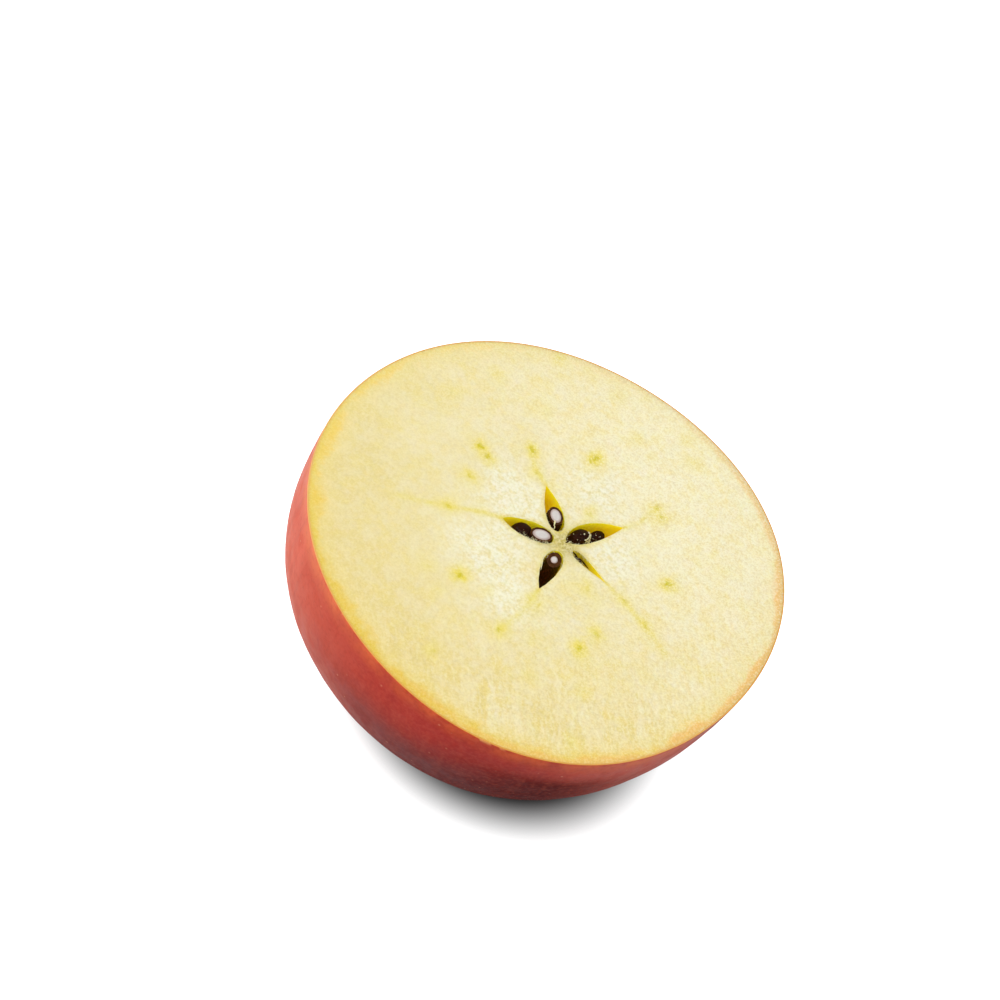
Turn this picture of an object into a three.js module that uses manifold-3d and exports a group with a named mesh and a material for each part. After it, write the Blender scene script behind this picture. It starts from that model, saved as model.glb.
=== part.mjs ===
// Half of a red apple, cut straight across at its widest, standing on its blossom end
// with the cut face up and level. The cut crosses the star of the core: five seed pockets,
// one of them a narrow slit, that hold seven dark pips. The knife has cut three pips open.
// Units are millimetres and +Z is up. The working frame has its origin where the core's
// axis meets the cut face, and the finished group is moved so that the origin is the
// middle of the underside of its box.

import * as THREE from "three";
import { mergeVertices } from "three/addons/utils/BufferGeometryUtils.js";
import Module from "manifold-3d";

const wasm = await Module();
wasm.setup();

// ---- The fruit ----

const RIM_RADIUS = 39; // mean radius of the cut face
const RIM_CENTRE = { x: -2.0, y: -1.0 }; // the cut face's middle, seen from the core's axis
// How the rim departs from a circle: waves in a turn, height, and the direction of a crest
const RIM_WAVES = [
  { waves: 1, height: 0.4, crest: -7 },
  { waves: 2, height: 0.29, crest: 45 },
  { waves: 3, height: 0.49, crest: 45 },
  { waves: 4, height: 0.27, crest: 31 },
];
const DOME_DEPTH = 36.1; // depth of the plain dome under the cut, before basin and lobes
const DOME_POWER = 2.5; // power of its superellipse meridian, where 2 is an ellipse
const SIDE_SWAY = -1.75; // how far the side stands over along X, half-way down

// ---- The blossom end ----

const LOBES = 5; // one bump for each seed pocket
const LOBE_CREST = 53; // direction of the first bump, in degrees
const LOBE_RISE = 1.0; // height of the bumps above the ring between them
const LOBE_RING = 16.5; // radius of the ring on which the bumps stand
const BASIN_RADIUS = 16.5; // the hollow round the dried calyx
const BASIN_DEPTH = 8.2;
const FOOT_TRIM = 0.35; // taken off the bumps, which leaves a small flat foot on each

// ---- The dried calyx, in the bottom of the basin ----

const SEPALS = 5;
const SEPAL_LENGTH = 5.4;
const SEPAL_WIDTH = 3.4; // at its root
const SEPAL_TIP = 0.35; // width at its tip
const SEPAL_THICKNESS = 0.7;
const SEPAL_TAPER = 0.7; // under 1, which keeps a sepal broad before it narrows
const SEPAL_ROOT = 1.9; // how far from the middle it grows
const SEPAL_SPREAD = 2.6; // how far further out its tip bends
const SEPAL_SINK = 0.9; // how deep its root stands in the flesh

// ---- The seed pockets, in the order of the turn round the core ----

// Each pocket opens in the cut face with a long pointed outline from its inner end to its
// tip. Half is its half width, peak the place of the widest part along it, bow the sideways
// sag of its middle line to the left of the way out, power the roundness of its inner end.
const POCKETS = [
  { inner: [0.4, 0.9], tip: [7.25, 9.1], half: 1.72, peak: 0.38, bow: 0.35, power: 0.58, depth: 10.5 },
  { inner: [-1.3, 1.6], tip: [-6.6, 8.4], half: 1.5, peak: 0.33, bow: -0.12, power: 0.48, depth: 9.5 },
  { inner: [-1.35, -0.35], tip: [-9.8, -1.8], half: 1.7, peak: 0.38, bow: 0.05, power: 0.42, depth: 10.5 },
  { inner: [0.35, -1.85], tip: [0.45, -10.2], half: 1.52, peak: 0.33, bow: -0.1, power: 0.48, depth: 10 },
  { inner: [2.0, -0.3], tip: [9.0, -2.45], half: 0.72, peak: 0.26, bow: 0.05, power: 0.4, depth: 7 },
];
const POCKET_TAPER = 3; // power by which a pocket closes towards its floor
const POCKET_SWELL = 0.12; // how much wider than its mouth it is, half-way down
const POCKET_DRAFT = 0.2; // how far its outline draws in towards the core on the way down

// ---- The pips ----

// A pip stands nearly upright. Place is the middle of its section at the cut face, or
// straight below it, drift how far that middle moves by its lower end, above how much of
// it stood over the cut (below, if negative), and turn the direction of its broad section.
const POINT_UP = { peak: 0.58, power: 0.6 }; // widest place from the top, and bluntness there
const POINT_DOWN = { peak: 0.42, power: 0.32 };
const PIPS = [
  { name: "pip_east_inner", form: POINT_DOWN, place: [2.0, 3.75], drift: [0.1, -0.2], above: -0.1,
    turn: 51, length: 7.4, breadth: 4.3, thickness: 3 },
  { name: "pip_east_outer", form: POINT_DOWN, place: [4.45, 6.2], drift: [0, -0.1], above: -0.6,
    turn: 54, length: 6.2, breadth: 2.3, thickness: 2 },
  { name: "pip_north", form: POINT_UP, place: [-3.0, 4.2], drift: [0.35, -0.4], above: 2.4,
    turn: -54, length: 7.6, breadth: 3.9, thickness: 2.7,
    kernel: { name: "kernel_north", start: 0.1 } },
  { name: "pip_west_inner", form: POINT_UP, place: [-3.55, -0.7], drift: [0.5, 0], above: 3,
    turn: 22, length: 8, breadth: 4, thickness: 2.75,
    kernel: { name: "kernel_west", start: 0.1 } },
  { name: "pip_west_outer", form: POINT_DOWN, place: [-6.75, -0.98], drift: [0, -0.1], above: -0.1,
    turn: 12, length: 6.6, breadth: 2.9, thickness: 2.3 },
  { name: "pip_south", form: POINT_UP, place: [0.25, -3.55], drift: [0.1, -0.8], above: 2.2,
    turn: 90, length: 8.6, breadth: 3.9, thickness: 2.75,
    kernel: { name: "kernel_south", start: 0.2 } },
  { name: "pip_slit", form: POINT_DOWN, place: [3.5, -0.85], drift: [0.2, 0], above: -0.2,
    turn: -18, length: 4.2, breadth: 2.2, thickness: 0.7 },
];
// A pip with a kernel is cut open. The kernel's start is how far along the pip it begins.
const PIP_ROUNDING = 0.7; // under 1, which keeps a pip thick for longer than it is broad
const PIP_TIP = 0.002; // where its first ring lies along it, just short of the point itself
const COAT = 0.34; // thickness of the brown coat round the kernel
const KERNEL_END = 0.95; // where the kernel ends along the pip
const KERNEL_GAP = 0.05; // clearance between the kernel and its coat

// ---- Fineness of the meshes ----

const TURN_STEPS = 84;
const MERIDIAN_STEPS = 28;
const POCKET_STEPS = 28;
const POCKET_LEVELS = 8;
const PIP_STEPS = 16;
const PIP_LEVELS = 10;
const SEPAL_STEPS = 8;
const SEPAL_LEVELS = 6;
const OVERSHOOT = 1; // how far a cutting tool stands over the face that it opens

const UP = new THREE.Vector3(0, 0, 1);
const radians = THREE.MathUtils.degToRad;
const lerp = THREE.MathUtils.lerp;
const steps = (count) => Array.from({ length: count }, (_, i) => i);

// Joins rings of points into one closed surface. The rings run downwards, and each runs
// counterclockwise seen from above; the first and last are closed by a fan of triangles.
function loft(rings) {
  const count = rings[0].length;
  const middle = (ring) =>
    ring.reduce((sum, p) => sum.add(p), new THREE.Vector3()).divideScalar(count);
  const points = [...rings.flat(), middle(rings[0]), middle(rings.at(-1))];
  const top = points.length - 2;
  const bottom = points.length - 1;
  const lastRing = (rings.length - 1) * count;
  const faces = [];
  steps(count).forEach((j) => {
    const next = (j + 1) % count;
    steps(rings.length - 1).forEach((i) => {
      const upper = i * count;
      const lower = upper + count;
      faces.push(upper + j, lower + j, upper + next);
      faces.push(upper + next, lower + j, lower + next);
    });
    faces.push(top, j, next);
    faces.push(bottom, lastRing + next, lastRing + j);
  });
  const geometry = new THREE.BufferGeometry().setFromPoints(points);
  geometry.setIndex(faces);
  return geometry;
}

// A three.js geometry as a manifold-3d solid, and back.
function solidOf(geometry) {
  const merged = mergeVertices(geometry);
  return new wasm.Manifold(
    new wasm.Mesh({
      numProp: 3,
      vertProperties: merged.attributes.position.array,
      triVerts: new Uint32Array(merged.index.array),
    }),
  );
}

function geometryOf(solid) {
  const mesh = solid.getMesh();
  const geometry = new THREE.BufferGeometry();
  geometry.setAttribute("position", new THREE.BufferAttribute(mesh.vertProperties, 3));
  geometry.setIndex(new THREE.BufferAttribute(mesh.triVerts, 1));
  geometry.computeVertexNormals();
  return geometry;
}

// A hump over 0 to 1 that is 0 at both ends and 1 at the peak. The power sets how blunt
// its start is, and the end follows from the peak's place.
function hump(u, peak, power) {
  const endPower = (power * (1 - peak)) / peak;
  return (u / peak) ** power * ((1 - u) / (1 - peak)) ** endPower;
}

// ---- Flesh and skin ----

function rimRadius(turn) {
  return RIM_WAVES.reduce(
    (radius, wave) => radius + wave.height * Math.cos(wave.waves * (turn - radians(wave.crest))),
    RIM_RADIUS,
  );
}

// The bumps' share of the surface: 0 at the calyx, 1 on their ring, fading to the rim.
function lobeShare(radius) {
  const ratio = (radius / LOBE_RING) ** 2;
  return ratio * Math.exp(1 - ratio);
}

function basinShare(radius) {
  return radius < BASIN_RADIUS ? (1 + Math.cos((Math.PI * radius) / BASIN_RADIUS)) / 2 : 0;
}

// A point of the outer surface. Turn goes round the fruit, fall from 0 at the rim to a
// quarter turn at the calyx: the meridian is a superellipse with the bumps added to it
// and the basin taken out of it.
function skinPoint(turn, fall) {
  const lobe = Math.cos(LOBES * (turn - radians(LOBE_CREST)));
  const radius = rimRadius(turn) * Math.cos(fall) ** (2 / DOME_POWER);
  const depth =
    DOME_DEPTH * Math.sin(fall) ** (2 / DOME_POWER) +
    LOBE_RISE * lobe * lobeShare(radius) * Math.sin(fall) -
    BASIN_DEPTH * basinShare(radius);
  return new THREE.Vector3(
    RIM_CENTRE.x + radius * Math.cos(turn) + SIDE_SWAY * Math.sin(2 * fall),
    RIM_CENTRE.y + radius * Math.sin(turn),
    -depth,
  );
}

// The whole outside, with the bumps trimmed to one level so that they all stand.
function fruitSolid() {
  const quarter = Math.PI / 2;
  const rings = steps(MERIDIAN_STEPS).map((i) =>
    steps(TURN_STEPS).map((j) =>
      skinPoint((2 * Math.PI * j) / TURN_STEPS, (quarter * i) / MERIDIAN_STEPS),
    ),
  );
  const lowest = Math.min(...rings.flat().map((p) => p.z));
  const floor = lowest + FOOT_TRIM;
  rings.flat().forEach((p) => {
    p.z = Math.max(p.z, floor);
  });
  return { solid: solidOf(loft(rings)), floor };
}

// One sepal: a narrow leaf that hangs from the bottom of the basin and bends outwards,
// in the direction between two bumps.
function sepalSolid(index) {
  const betweenBumps = index + 1 / 2;
  const turn = radians(LOBE_CREST) + (2 * Math.PI * betweenBumps) / SEPALS;
  const root = BASIN_DEPTH - DOME_DEPTH + SEPAL_SINK;
  const centre = new THREE.Vector3(RIM_CENTRE.x, RIM_CENTRE.y, root);
  const rings = steps(SEPAL_LEVELS + 1).map((i) => {
    const along = i / SEPAL_LEVELS;
    const out = SEPAL_ROOT + SEPAL_SPREAD * along ** 2;
    const width = SEPAL_TIP + (SEPAL_WIDTH - SEPAL_TIP) * (1 - along) ** SEPAL_TAPER;
    return steps(SEPAL_STEPS).map((j) => {
      const round = (2 * Math.PI * j) / SEPAL_STEPS;
      const across = (width / 2) * Math.cos(round);
      const thick = (SEPAL_THICKNESS / 2) * Math.sin(round);
      const p = new THREE.Vector3(out - thick, across, -SEPAL_LENGTH * along);
      return p.applyAxisAngle(UP, turn).add(centre);
    });
  });
  return solidOf(loft(rings));
}

// A pocket, as the tool that cuts it. Its outline keeps its form on the way down while it
// shrinks towards a point near the core.
function pocketSolid(pocket) {
  const inner = new THREE.Vector2(...pocket.inner);
  const way = new THREE.Vector2(...pocket.tip).sub(inner);
  const left = new THREE.Vector2(-way.y, way.x).normalize();
  const outline = steps(POCKET_STEPS).map((j) => {
    const round = (2 * Math.PI * j) / POCKET_STEPS;
    const along = (1 - Math.cos(round)) / 2;
    const side = -Math.sign(Math.sin(round)) * pocket.half * hump(along, pocket.peak, pocket.power);
    const across = pocket.bow * 4 * along * (1 - along) + side;
    return inner.clone().addScaledVector(way, along).addScaledVector(left, across);
  });
  const heart = inner.clone().addScaledVector(way, pocket.peak);
  const rings = steps(POCKET_LEVELS).map((i) => {
    const fall = Math.sin((Math.PI / 2) * (i / POCKET_LEVELS));
    const swell = 1 + POCKET_SWELL * Math.sin(Math.PI * fall);
    const size = swell * Math.sqrt(1 - fall ** POCKET_TAPER);
    const drawn = heart.clone().multiplyScalar(1 - POCKET_DRAFT * fall);
    return outline.map((p) => {
      const flat = p.clone().sub(heart).multiplyScalar(size).add(drawn);
      return new THREE.Vector3(flat.x, flat.y, -pocket.depth * fall);
    });
  });
  const lip = outline.map((p) => new THREE.Vector3(p.x, p.y, OVERSHOOT));
  return solidOf(loft([lip, ...rings]));
}

// ---- Pips ----

// A stretch of a pip, from its start to its end along the length, drawn in by inset on
// every side. What would stand over the cut face is left off, or runs on to the height
// given as lid when the stretch is a cutting tool.
function pipSolid(pip, start, end, inset, lid) {
  const from = Math.max(start + PIP_TIP, pip.above / pip.length);
  const turn = radians(pip.turn);
  const ringAt = (along, height) => {
    const size = hump((along - start) / (end - start), pip.form.peak, pip.form.power);
    const centre = new THREE.Vector2(
      pip.place[0] + pip.drift[0] * along,
      pip.place[1] + pip.drift[1] * along,
    );
    return steps(PIP_STEPS).map((j) => {
      const round = (2 * Math.PI * j) / PIP_STEPS;
      const broad = (pip.breadth / 2 - inset) * size * Math.cos(round);
      const thick = (pip.thickness / 2 - inset) * size ** PIP_ROUNDING * Math.sin(round);
      return new THREE.Vector3(
        centre.x + broad * Math.cos(turn) - thick * Math.sin(turn),
        centre.y + broad * Math.sin(turn) + thick * Math.cos(turn),
        height,
      );
    });
  };
  const rings = steps(PIP_LEVELS).map((i) => {
    const share = Math.sin((Math.PI / 2) * (i / PIP_LEVELS));
    const along = lerp(from, end, share);
    return ringAt(along, pip.above - pip.length * along);
  });
  if (lid > 0) rings.unshift(ringAt(from, lid));
  return solidOf(loft(rings));
}

// ---- Materials ----

const materials = {
  flesh: new THREE.MeshStandardMaterial({ color: 0xf1e5b2, roughness: 0.55 }),
  coat: new THREE.MeshStandardMaterial({ color: 0x3c190f, roughness: 0.3 }),
  kernel: new THREE.MeshStandardMaterial({ color: 0xd7d2d4, roughness: 0.5 }),
};

function namedMesh(name, solid, material) {
  const mesh = new THREE.Mesh(geometryOf(solid), material);
  mesh.name = name;
  return mesh;
}

// ---- Assembly ----

const fruit = fruitSolid();
const whole = steps(SEPALS).reduce((solid, i) => solid.add(sepalSolid(i)), fruit.solid);
const flesh = POCKETS.reduce((solid, pocket) => solid.subtract(pocketSolid(pocket)), whole);

const group = new THREE.Group();
group.add(namedMesh("flesh_and_skin", flesh, materials.flesh));

PIPS.forEach((pip) => {
  const coat = pipSolid(pip, 0, 1, 0, 0);
  if (!pip.kernel) {
    group.add(namedMesh(pip.name, coat, materials.coat));
    return;
  }
  const { name, start } = pip.kernel;
  const deeper = KERNEL_END + KERNEL_GAP / pip.length;
  const hollow = pipSolid(pip, start, deeper, COAT - KERNEL_GAP, OVERSHOOT);
  const kernel = pipSolid(pip, start, KERNEL_END, COAT, 0);
  group.add(namedMesh(pip.name, coat.subtract(hollow), materials.coat));
  group.add(namedMesh(name, kernel, materials.kernel));
});

const box = new THREE.Box3().setFromObject(group);
const middle = box.getCenter(new THREE.Vector3());
group.position.set(-middle.x, -middle.y, -fruit.floor);

export default group;
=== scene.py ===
# %% [markdown]
# # Half of an apple, cut across its core
#
# An apple that is cut across at its widest shows a star: five seed pockets in pale, moist
# flesh, inside a thin red skin. This lesson dresses the plain solids of such a half. Every
# surface is worked out from a formula on a grid, as the fruit is close to a rule: one
# outline carried down a curve, five times the same pocket, and pips that are all one form.
# Each size is a named number, so that it can be changed and the rest follows.

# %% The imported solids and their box
import math

import bpy
import numpy as np
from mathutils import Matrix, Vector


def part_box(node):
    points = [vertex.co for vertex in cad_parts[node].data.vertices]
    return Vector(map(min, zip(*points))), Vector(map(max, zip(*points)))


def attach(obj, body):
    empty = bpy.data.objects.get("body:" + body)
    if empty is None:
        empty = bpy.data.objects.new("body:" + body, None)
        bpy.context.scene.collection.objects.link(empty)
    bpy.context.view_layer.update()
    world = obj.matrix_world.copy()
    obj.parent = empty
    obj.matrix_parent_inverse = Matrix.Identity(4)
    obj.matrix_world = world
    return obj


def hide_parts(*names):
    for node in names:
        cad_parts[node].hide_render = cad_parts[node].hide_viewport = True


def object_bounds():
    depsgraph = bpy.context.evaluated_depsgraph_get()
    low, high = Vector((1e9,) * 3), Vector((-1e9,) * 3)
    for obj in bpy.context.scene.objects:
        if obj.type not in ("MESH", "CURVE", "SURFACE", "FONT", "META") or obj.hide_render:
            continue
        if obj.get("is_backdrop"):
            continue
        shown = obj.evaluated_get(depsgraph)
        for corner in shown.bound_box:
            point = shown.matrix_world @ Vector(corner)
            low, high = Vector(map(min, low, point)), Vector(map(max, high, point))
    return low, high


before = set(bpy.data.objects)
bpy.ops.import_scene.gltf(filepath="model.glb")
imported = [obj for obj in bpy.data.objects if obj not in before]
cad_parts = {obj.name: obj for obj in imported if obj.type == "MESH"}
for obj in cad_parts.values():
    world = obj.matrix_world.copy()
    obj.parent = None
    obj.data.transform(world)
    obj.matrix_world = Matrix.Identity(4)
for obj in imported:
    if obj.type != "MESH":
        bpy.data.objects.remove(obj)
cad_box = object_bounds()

MM = 0.001
print("solids:", ", ".join(sorted(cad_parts)))
print("box in mm:", [[round(x / MM, 2) for x in corner] for corner in cad_box])

# %% [markdown]
# ## The sizes that drive everything
#
# All sizes are in millimetres. The working frame has its origin where the core's axis meets
# the cut face, because everything in an apple grows round that axis. The cut face lies at
# height 0 and the fruit hangs below it. Its middle isn't the axis: apples grow lopsided.

# %% The fruit and its blossom end
RIM_RADIUS = 39.0
RIM_CENTRE = np.array([-2.0, -1.0])
# Waves round the rim, their height, and the turn of a crest in degrees
RIM_WAVES = np.array([[1, 0.4, -7], [2, 0.29, 45], [3, 0.49, 45], [4, 0.27, 31]])
DOME_DEPTH = 36.1
DOME_POWER = 2.5
SIDE_SWAY = -1.75
LOBES = 5
LOBE_CREST = math.radians(53)
LOBE_RISE = 1.0
LOBE_RING = 16.5
BASIN_RADIUS = 16.5
BASIN_DEPTH = 8.2
SKIN = 0.3  # thickness of the skin with the coloured flesh that clings to it
print("the cut face is about", 2 * RIM_RADIUS, "mm across")

# %% The seed pockets: inner end, tip, half width, place of the widest part, bow, bluntness, depth
POCKETS = {
    "east": ((0.4, 0.9), (7.25, 9.1), 1.72, 0.38, 0.35, 0.58, 10.5),
    "north": ((-1.3, 1.6), (-6.6, 8.4), 1.5, 0.33, -0.12, 0.48, 9.5),
    "west": ((-1.35, -0.35), (-9.8, -1.8), 1.7, 0.38, 0.05, 0.42, 10.5),
    "south": ((0.35, -1.85), (0.45, -10.2), 1.52, 0.33, -0.1, 0.48, 10.0),
    "slit": ((2.0, -0.3), (9.0, -2.45), 0.72, 0.26, 0.05, 0.4, 7.0),
}
POCKET_TAPER = 3
POCKET_SWELL = 0.12
POCKET_DRAFT = 0.2
print(len(POCKETS), "seed pockets")

# %% The pips, and which of them the knife has opened
POINT_UP = (0.58, 0.6)  # place of the widest part, bluntness of the top
POINT_DOWN = (0.42, 0.32)
POINT_DOWN_FULL = (0.42, 0.2)
# Form, place, drift, height over the cut, turn in degrees, length, breadth, thickness, and
# for an open pip where its kernel starts along it
PIPS = {
    "pip_east_inner": (POINT_DOWN, (2.1, 3.8), (0.1, -0.2), -0.1, 51, 7.4, 4.6, 3.0, None),
    "pip_east_outer": (POINT_DOWN_FULL, (4.4, 6.0), (0, -0.1), -0.85, 54, 6.2, 3.3, 2.2, None),
    "pip_north": (POINT_UP, (-3.0, 4.2), (0.35, -0.4), 2.4, -54, 7.6, 3.9, 2.7, 0.1),
    "pip_west_inner": (POINT_UP, (-3.55, -0.7), (0.5, 0), 3.0, 22, 8.0, 4.0, 2.75, 0.1),
    "pip_west_outer": (POINT_DOWN_FULL, (-6.3, -1.1), (0, -0.1), -0.1, 12, 6.6, 3.7, 2.5, None),
    "pip_south": (POINT_UP, (0.25, -3.55), (0.1, -0.8), 2.2, 90, 8.6, 3.9, 2.75, 0.2),
    "pip_slit": (POINT_DOWN, (3.5, -0.85), (0.2, 0), -0.2, -18, 4.2, 2.2, 0.7, None),
}
KERNELS = {"pip_north": "kernel_north", "pip_west_inner": "kernel_west", "pip_south": "kernel_south"}
PIP_ROUNDING = 0.7
COAT = 0.34
KERNEL_END = 0.95
KERNEL_GAP = 0.05
print(len(PIPS), "pips,", len(KERNELS), "of them open")

# %% [markdown]
# ## Tools: smooth unevenness, and grids that share their edges
#
# Nothing on a fruit is quite even. A lattice of random values with a smooth step between
# them is the simplest unevenness that looks natural, and a fixed seed gives the same fruit
# at each run. The meshes are patches, which are grids of point numbers. Two patches that
# hold the same numbers along an edge are welded there, so a closed skin needs no clean-up.

# %% Smooth unevenness
LATTICE = 256


def uneven(u, v, seed, around=LATTICE):
    """Smooth values from -1 to 1. Random values sit on a lattice one unit apart, and between
    them runs the step 3f² - 2f³, where f is the share of the way. It repeats every around
    units of u, so that it can go round a fruit without a seam."""
    values = np.random.default_rng(seed).uniform(-1, 1, (around, LATTICE))
    i, j = np.floor(u).astype(int), np.floor(v).astype(int)
    f, g = u - i, v - j
    f, g = f * f * (3 - 2 * f), g * g * (3 - 2 * g)
    i, j, i_next, j_next = i % around, j % LATTICE, (i + 1) % around, (j + 1) % LATTICE
    near = values[i, j] * (1 - f) + values[i_next, j] * f
    far = values[i, j_next] * (1 - f) + values[i_next, j_next] * f
    return near * (1 - g) + far * g


def hump(u, peak, power):
    """A hump over 0 to 1: (u/peak)^power · ((1-u)/(1-peak))^(power·(1-peak)/peak)."""
    u = np.clip(u, 0, 1)
    return (u / peak) ** power * ((1 - u) / (1 - peak)) ** (power * (1 - peak) / peak)


def bell(distance, reach):
    """exp(-(distance / reach)²)."""
    return np.exp(-((distance / reach) ** 2))


def uneven_sum(u, v, rows):
    """The sum of several unevennesses, each a row of height, size along u and v, and seed."""
    return sum(height * uneven(u / wide, v / high, seed) for height, wide, high, seed in rows)


def turns_round(count):
    """Angles that divide a full turn evenly."""
    return 2 * np.pi * np.arange(count) / count


def unit(vectors):
    """Vectors of length 1 in the same directions."""
    return vectors / np.linalg.norm(vectors, axis=-1, keepdims=True)


print("unevenness at three places:", uneven(np.array([0.5, 1.5, 2.5]), np.zeros(3), 1).round(2))

# %% Patches of point numbers
class Surface:
    """The points, in mm, and the faces of one mesh in the making. A patch is a grid of point
    numbers, and its rows crossed with its columns give the side that faces out."""

    def __init__(self):
        self.points, self.faces, self.count = [], [], 0

    def add(self, points):
        """Keeps the points, and gives their numbers as an array of the same shape."""
        numbers = np.arange(points[..., 0].size).reshape(points.shape[:-1]) + self.count
        self.points.append(points.reshape(-1, 3))
        self.count += numbers.size
        return numbers

    def patch(self, grid, finish=0, closed=True):
        """Four-sided faces between neighbours. A closed grid's last column joins its first."""
        if closed:
            grid = np.concatenate([grid, grid[..., :1]], axis=-1)
        corners = (grid[..., :-1, :-1], grid[..., 1:, :-1], grid[..., 1:, 1:], grid[..., :-1, 1:])
        self.faces.append((np.stack(corners, -1).reshape(-1, 4), finish))

    def cap(self, ring, middle, finish=0, at_end=True):
        """Triangles from a closed ring to a new middle point after it, or before it. Several
        rings can have one each. Gives the number of the new point."""
        number = self.add(np.asarray(middle))
        after, middle = np.roll(ring, -1, axis=-1), np.broadcast_to(number[..., None], ring.shape)
        order = (ring, middle, after) if at_end else (ring, after, middle)
        self.faces.append((np.stack(order, -1).reshape(-1, 3), finish))
        return number


# %% From a surface to a Blender object
SHARP = math.radians(38)  # an edge that turns by more is drawn as an edge


def new_object(name, data):
    """An object for a mesh, a lamp or a camera, linked to the scene."""
    placed = bpy.data.objects.new(name, data)
    bpy.context.scene.collection.objects.link(placed)
    return placed


def make_piece(name, surface, materials, **values):
    """An object whose mesh holds the surface's place in metres. Each further value is an
    array with one number or one vector for each point, kept as an attribute of the mesh."""
    points = (np.concatenate(surface.points) + ORIGIN) * MM
    corners = np.concatenate([faces.ravel() for faces, _ in surface.faces])
    sides = np.concatenate([np.full(len(faces), faces.shape[1]) for faces, _ in surface.faces])
    finishes = np.concatenate([np.full(len(faces), finish) for faces, finish in surface.faces])
    mesh = bpy.data.meshes.new(name)
    mesh.vertices.add(len(points))
    mesh.loops.add(len(corners))
    mesh.polygons.add(len(sides))
    mesh.vertices.foreach_set("co", points.astype(np.float32).ravel())
    mesh.loops.foreach_set("vertex_index", corners.astype(np.int32))
    mesh.polygons.foreach_set("loop_start", (np.cumsum(sides) - sides).astype(np.int32))
    mesh.polygons.foreach_set("material_index", finishes.astype(np.int32))
    mesh.polygons.foreach_set("use_smooth", np.ones(len(sides), bool))
    mesh.update(calc_edges=True)
    mesh.set_sharp_from_angle(angle=SHARP)
    for key, array in values.items():
        vector = array.ndim == 2
        layer = mesh.attributes.new(key, "FLOAT_VECTOR" if vector else "FLOAT", "POINT")
        layer.data.foreach_set("vector" if vector else "value", array.astype(np.float32).ravel())
    for material in materials:
        mesh.materials.append(material)
    open_edges = len(corners) - 2 * len(mesh.edges)
    print(f"{name}: {int((sides - 2).sum())} triangles, corners minus twice the edges {open_edges}")
    return new_object(name, mesh)


def dress(piece, node):
    """The piece rides on the one body and stands for a CAD node, whose plain solid is hidden."""
    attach(piece, "root")
    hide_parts(node)


# %% [markdown]
# ## The outside of the fruit
#
# A lathe would give a fruit like a ball. The real side is fuller than a circle, so its
# meridian is a superellipse. Five bumps stand round the blossom end, one for each pocket,
# and the dried calyx sits in a hollow between them. Each is a term added to one formula.

# %% The outside as a function of a turn and a fall
def rim_radius(turn):
    """The mean radius plus, for each wave, height · cos(waves · (turn - crest))."""
    waves, height, crest = RIM_WAVES.T
    return RIM_RADIUS + (height * np.cos(waves * (turn[..., None] - np.radians(crest)))).sum(-1)


def skin_point(turn, fall, inset=0.0):
    """A point of the outside. The meridian has radius R · cos(fall)^(2/p) and depth
    D · sin(fall)^(2/p), for a fall from 0 at the rim to a quarter turn at the calyx. The five
    bumps are added to the depth and the basin is taken from it. Inset draws it inwards."""
    shape = 2 / DOME_POWER
    radius = (rim_radius(turn) - inset) * np.cos(fall) ** shape
    share = (radius / LOBE_RING) ** 2
    lobes = LOBE_RISE * np.cos(LOBES * (turn - LOBE_CREST)) * share * np.exp(1 - share)
    basin = np.where(radius < BASIN_RADIUS, (1 + np.cos(np.pi * radius / BASIN_RADIUS)) / 2, 0)
    depth = (DOME_DEPTH - inset) * np.sin(fall) ** shape + lobes * np.sin(fall) - BASIN_DEPTH * basin
    x = RIM_CENTRE[0] + radius * np.cos(turn) + SIDE_SWAY * np.sin(2 * fall)
    y = RIM_CENTRE[1] + radius * np.sin(turn)
    return np.stack([x, y, -depth], -1)


def calyx_point(inset=0.0):
    """The point of the outside on its axis, at the end of every meridian."""
    return skin_point(np.float64(0), np.float64(np.pi / 2), inset)


def round_middle(x, y):
    """The turn round the middle of the cut face, and the distance from it."""
    x, y = x - RIM_CENTRE[0], y - RIM_CENTRE[1]
    return np.arctan2(y, x), np.hypot(x, y)


# %% Where the working frame lies in the object's frame
BOX_TURNS, BOX_FALLS, LOWEST_FALL = 361, 61, 1.5  # where the outside is measured
low, high = (np.array(corner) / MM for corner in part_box("flesh_and_skin"))
all_turns, all_falls = np.meshgrid(
    np.linspace(0, 2 * np.pi, BOX_TURNS), np.linspace(0, LOWEST_FALL, BOX_FALLS)
)
around = skin_point(all_turns, all_falls).reshape(-1, 3)
middle = (low + high) / 2 - (around.min(0) + around.max(0)) / 2
ORIGIN = np.array([middle[0], middle[1], high[2]])
FLOOR = low[2] - high[2]
PRESS_SOFTNESS = 0.08


def rest_on_floor(points, inset=0.0):
    """Bumps that reach below the floor are pressed flat: with d the height over the floor and
    s the softness, the new height is (d + sqrt(d² + s²)) / 2, which never goes below it."""
    height = points[..., 2] - FLOOR - inset
    points[..., 2] = FLOOR + inset + (height + np.sqrt(height**2 + PRESS_SOFTNESS**2)) / 2
    return points


print("the core's axis is at", ORIGIN.round(3), "mm, the floor", round(FLOOR, 2), "mm under the cut")

# %% [markdown]
# ## The star in the cut face
#
# Five pockets open in the face. One way to make them is to cut a disc with five solids, but
# a cut leaves long thin faces that show as creases in moist flesh. Here the face is planned
# round the holes: each pocket gets a wedge of a disc, and rings run from the pocket's lip
# out to the wedge's border. A polar grid then carries the disc's rim on to the skin.

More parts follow.
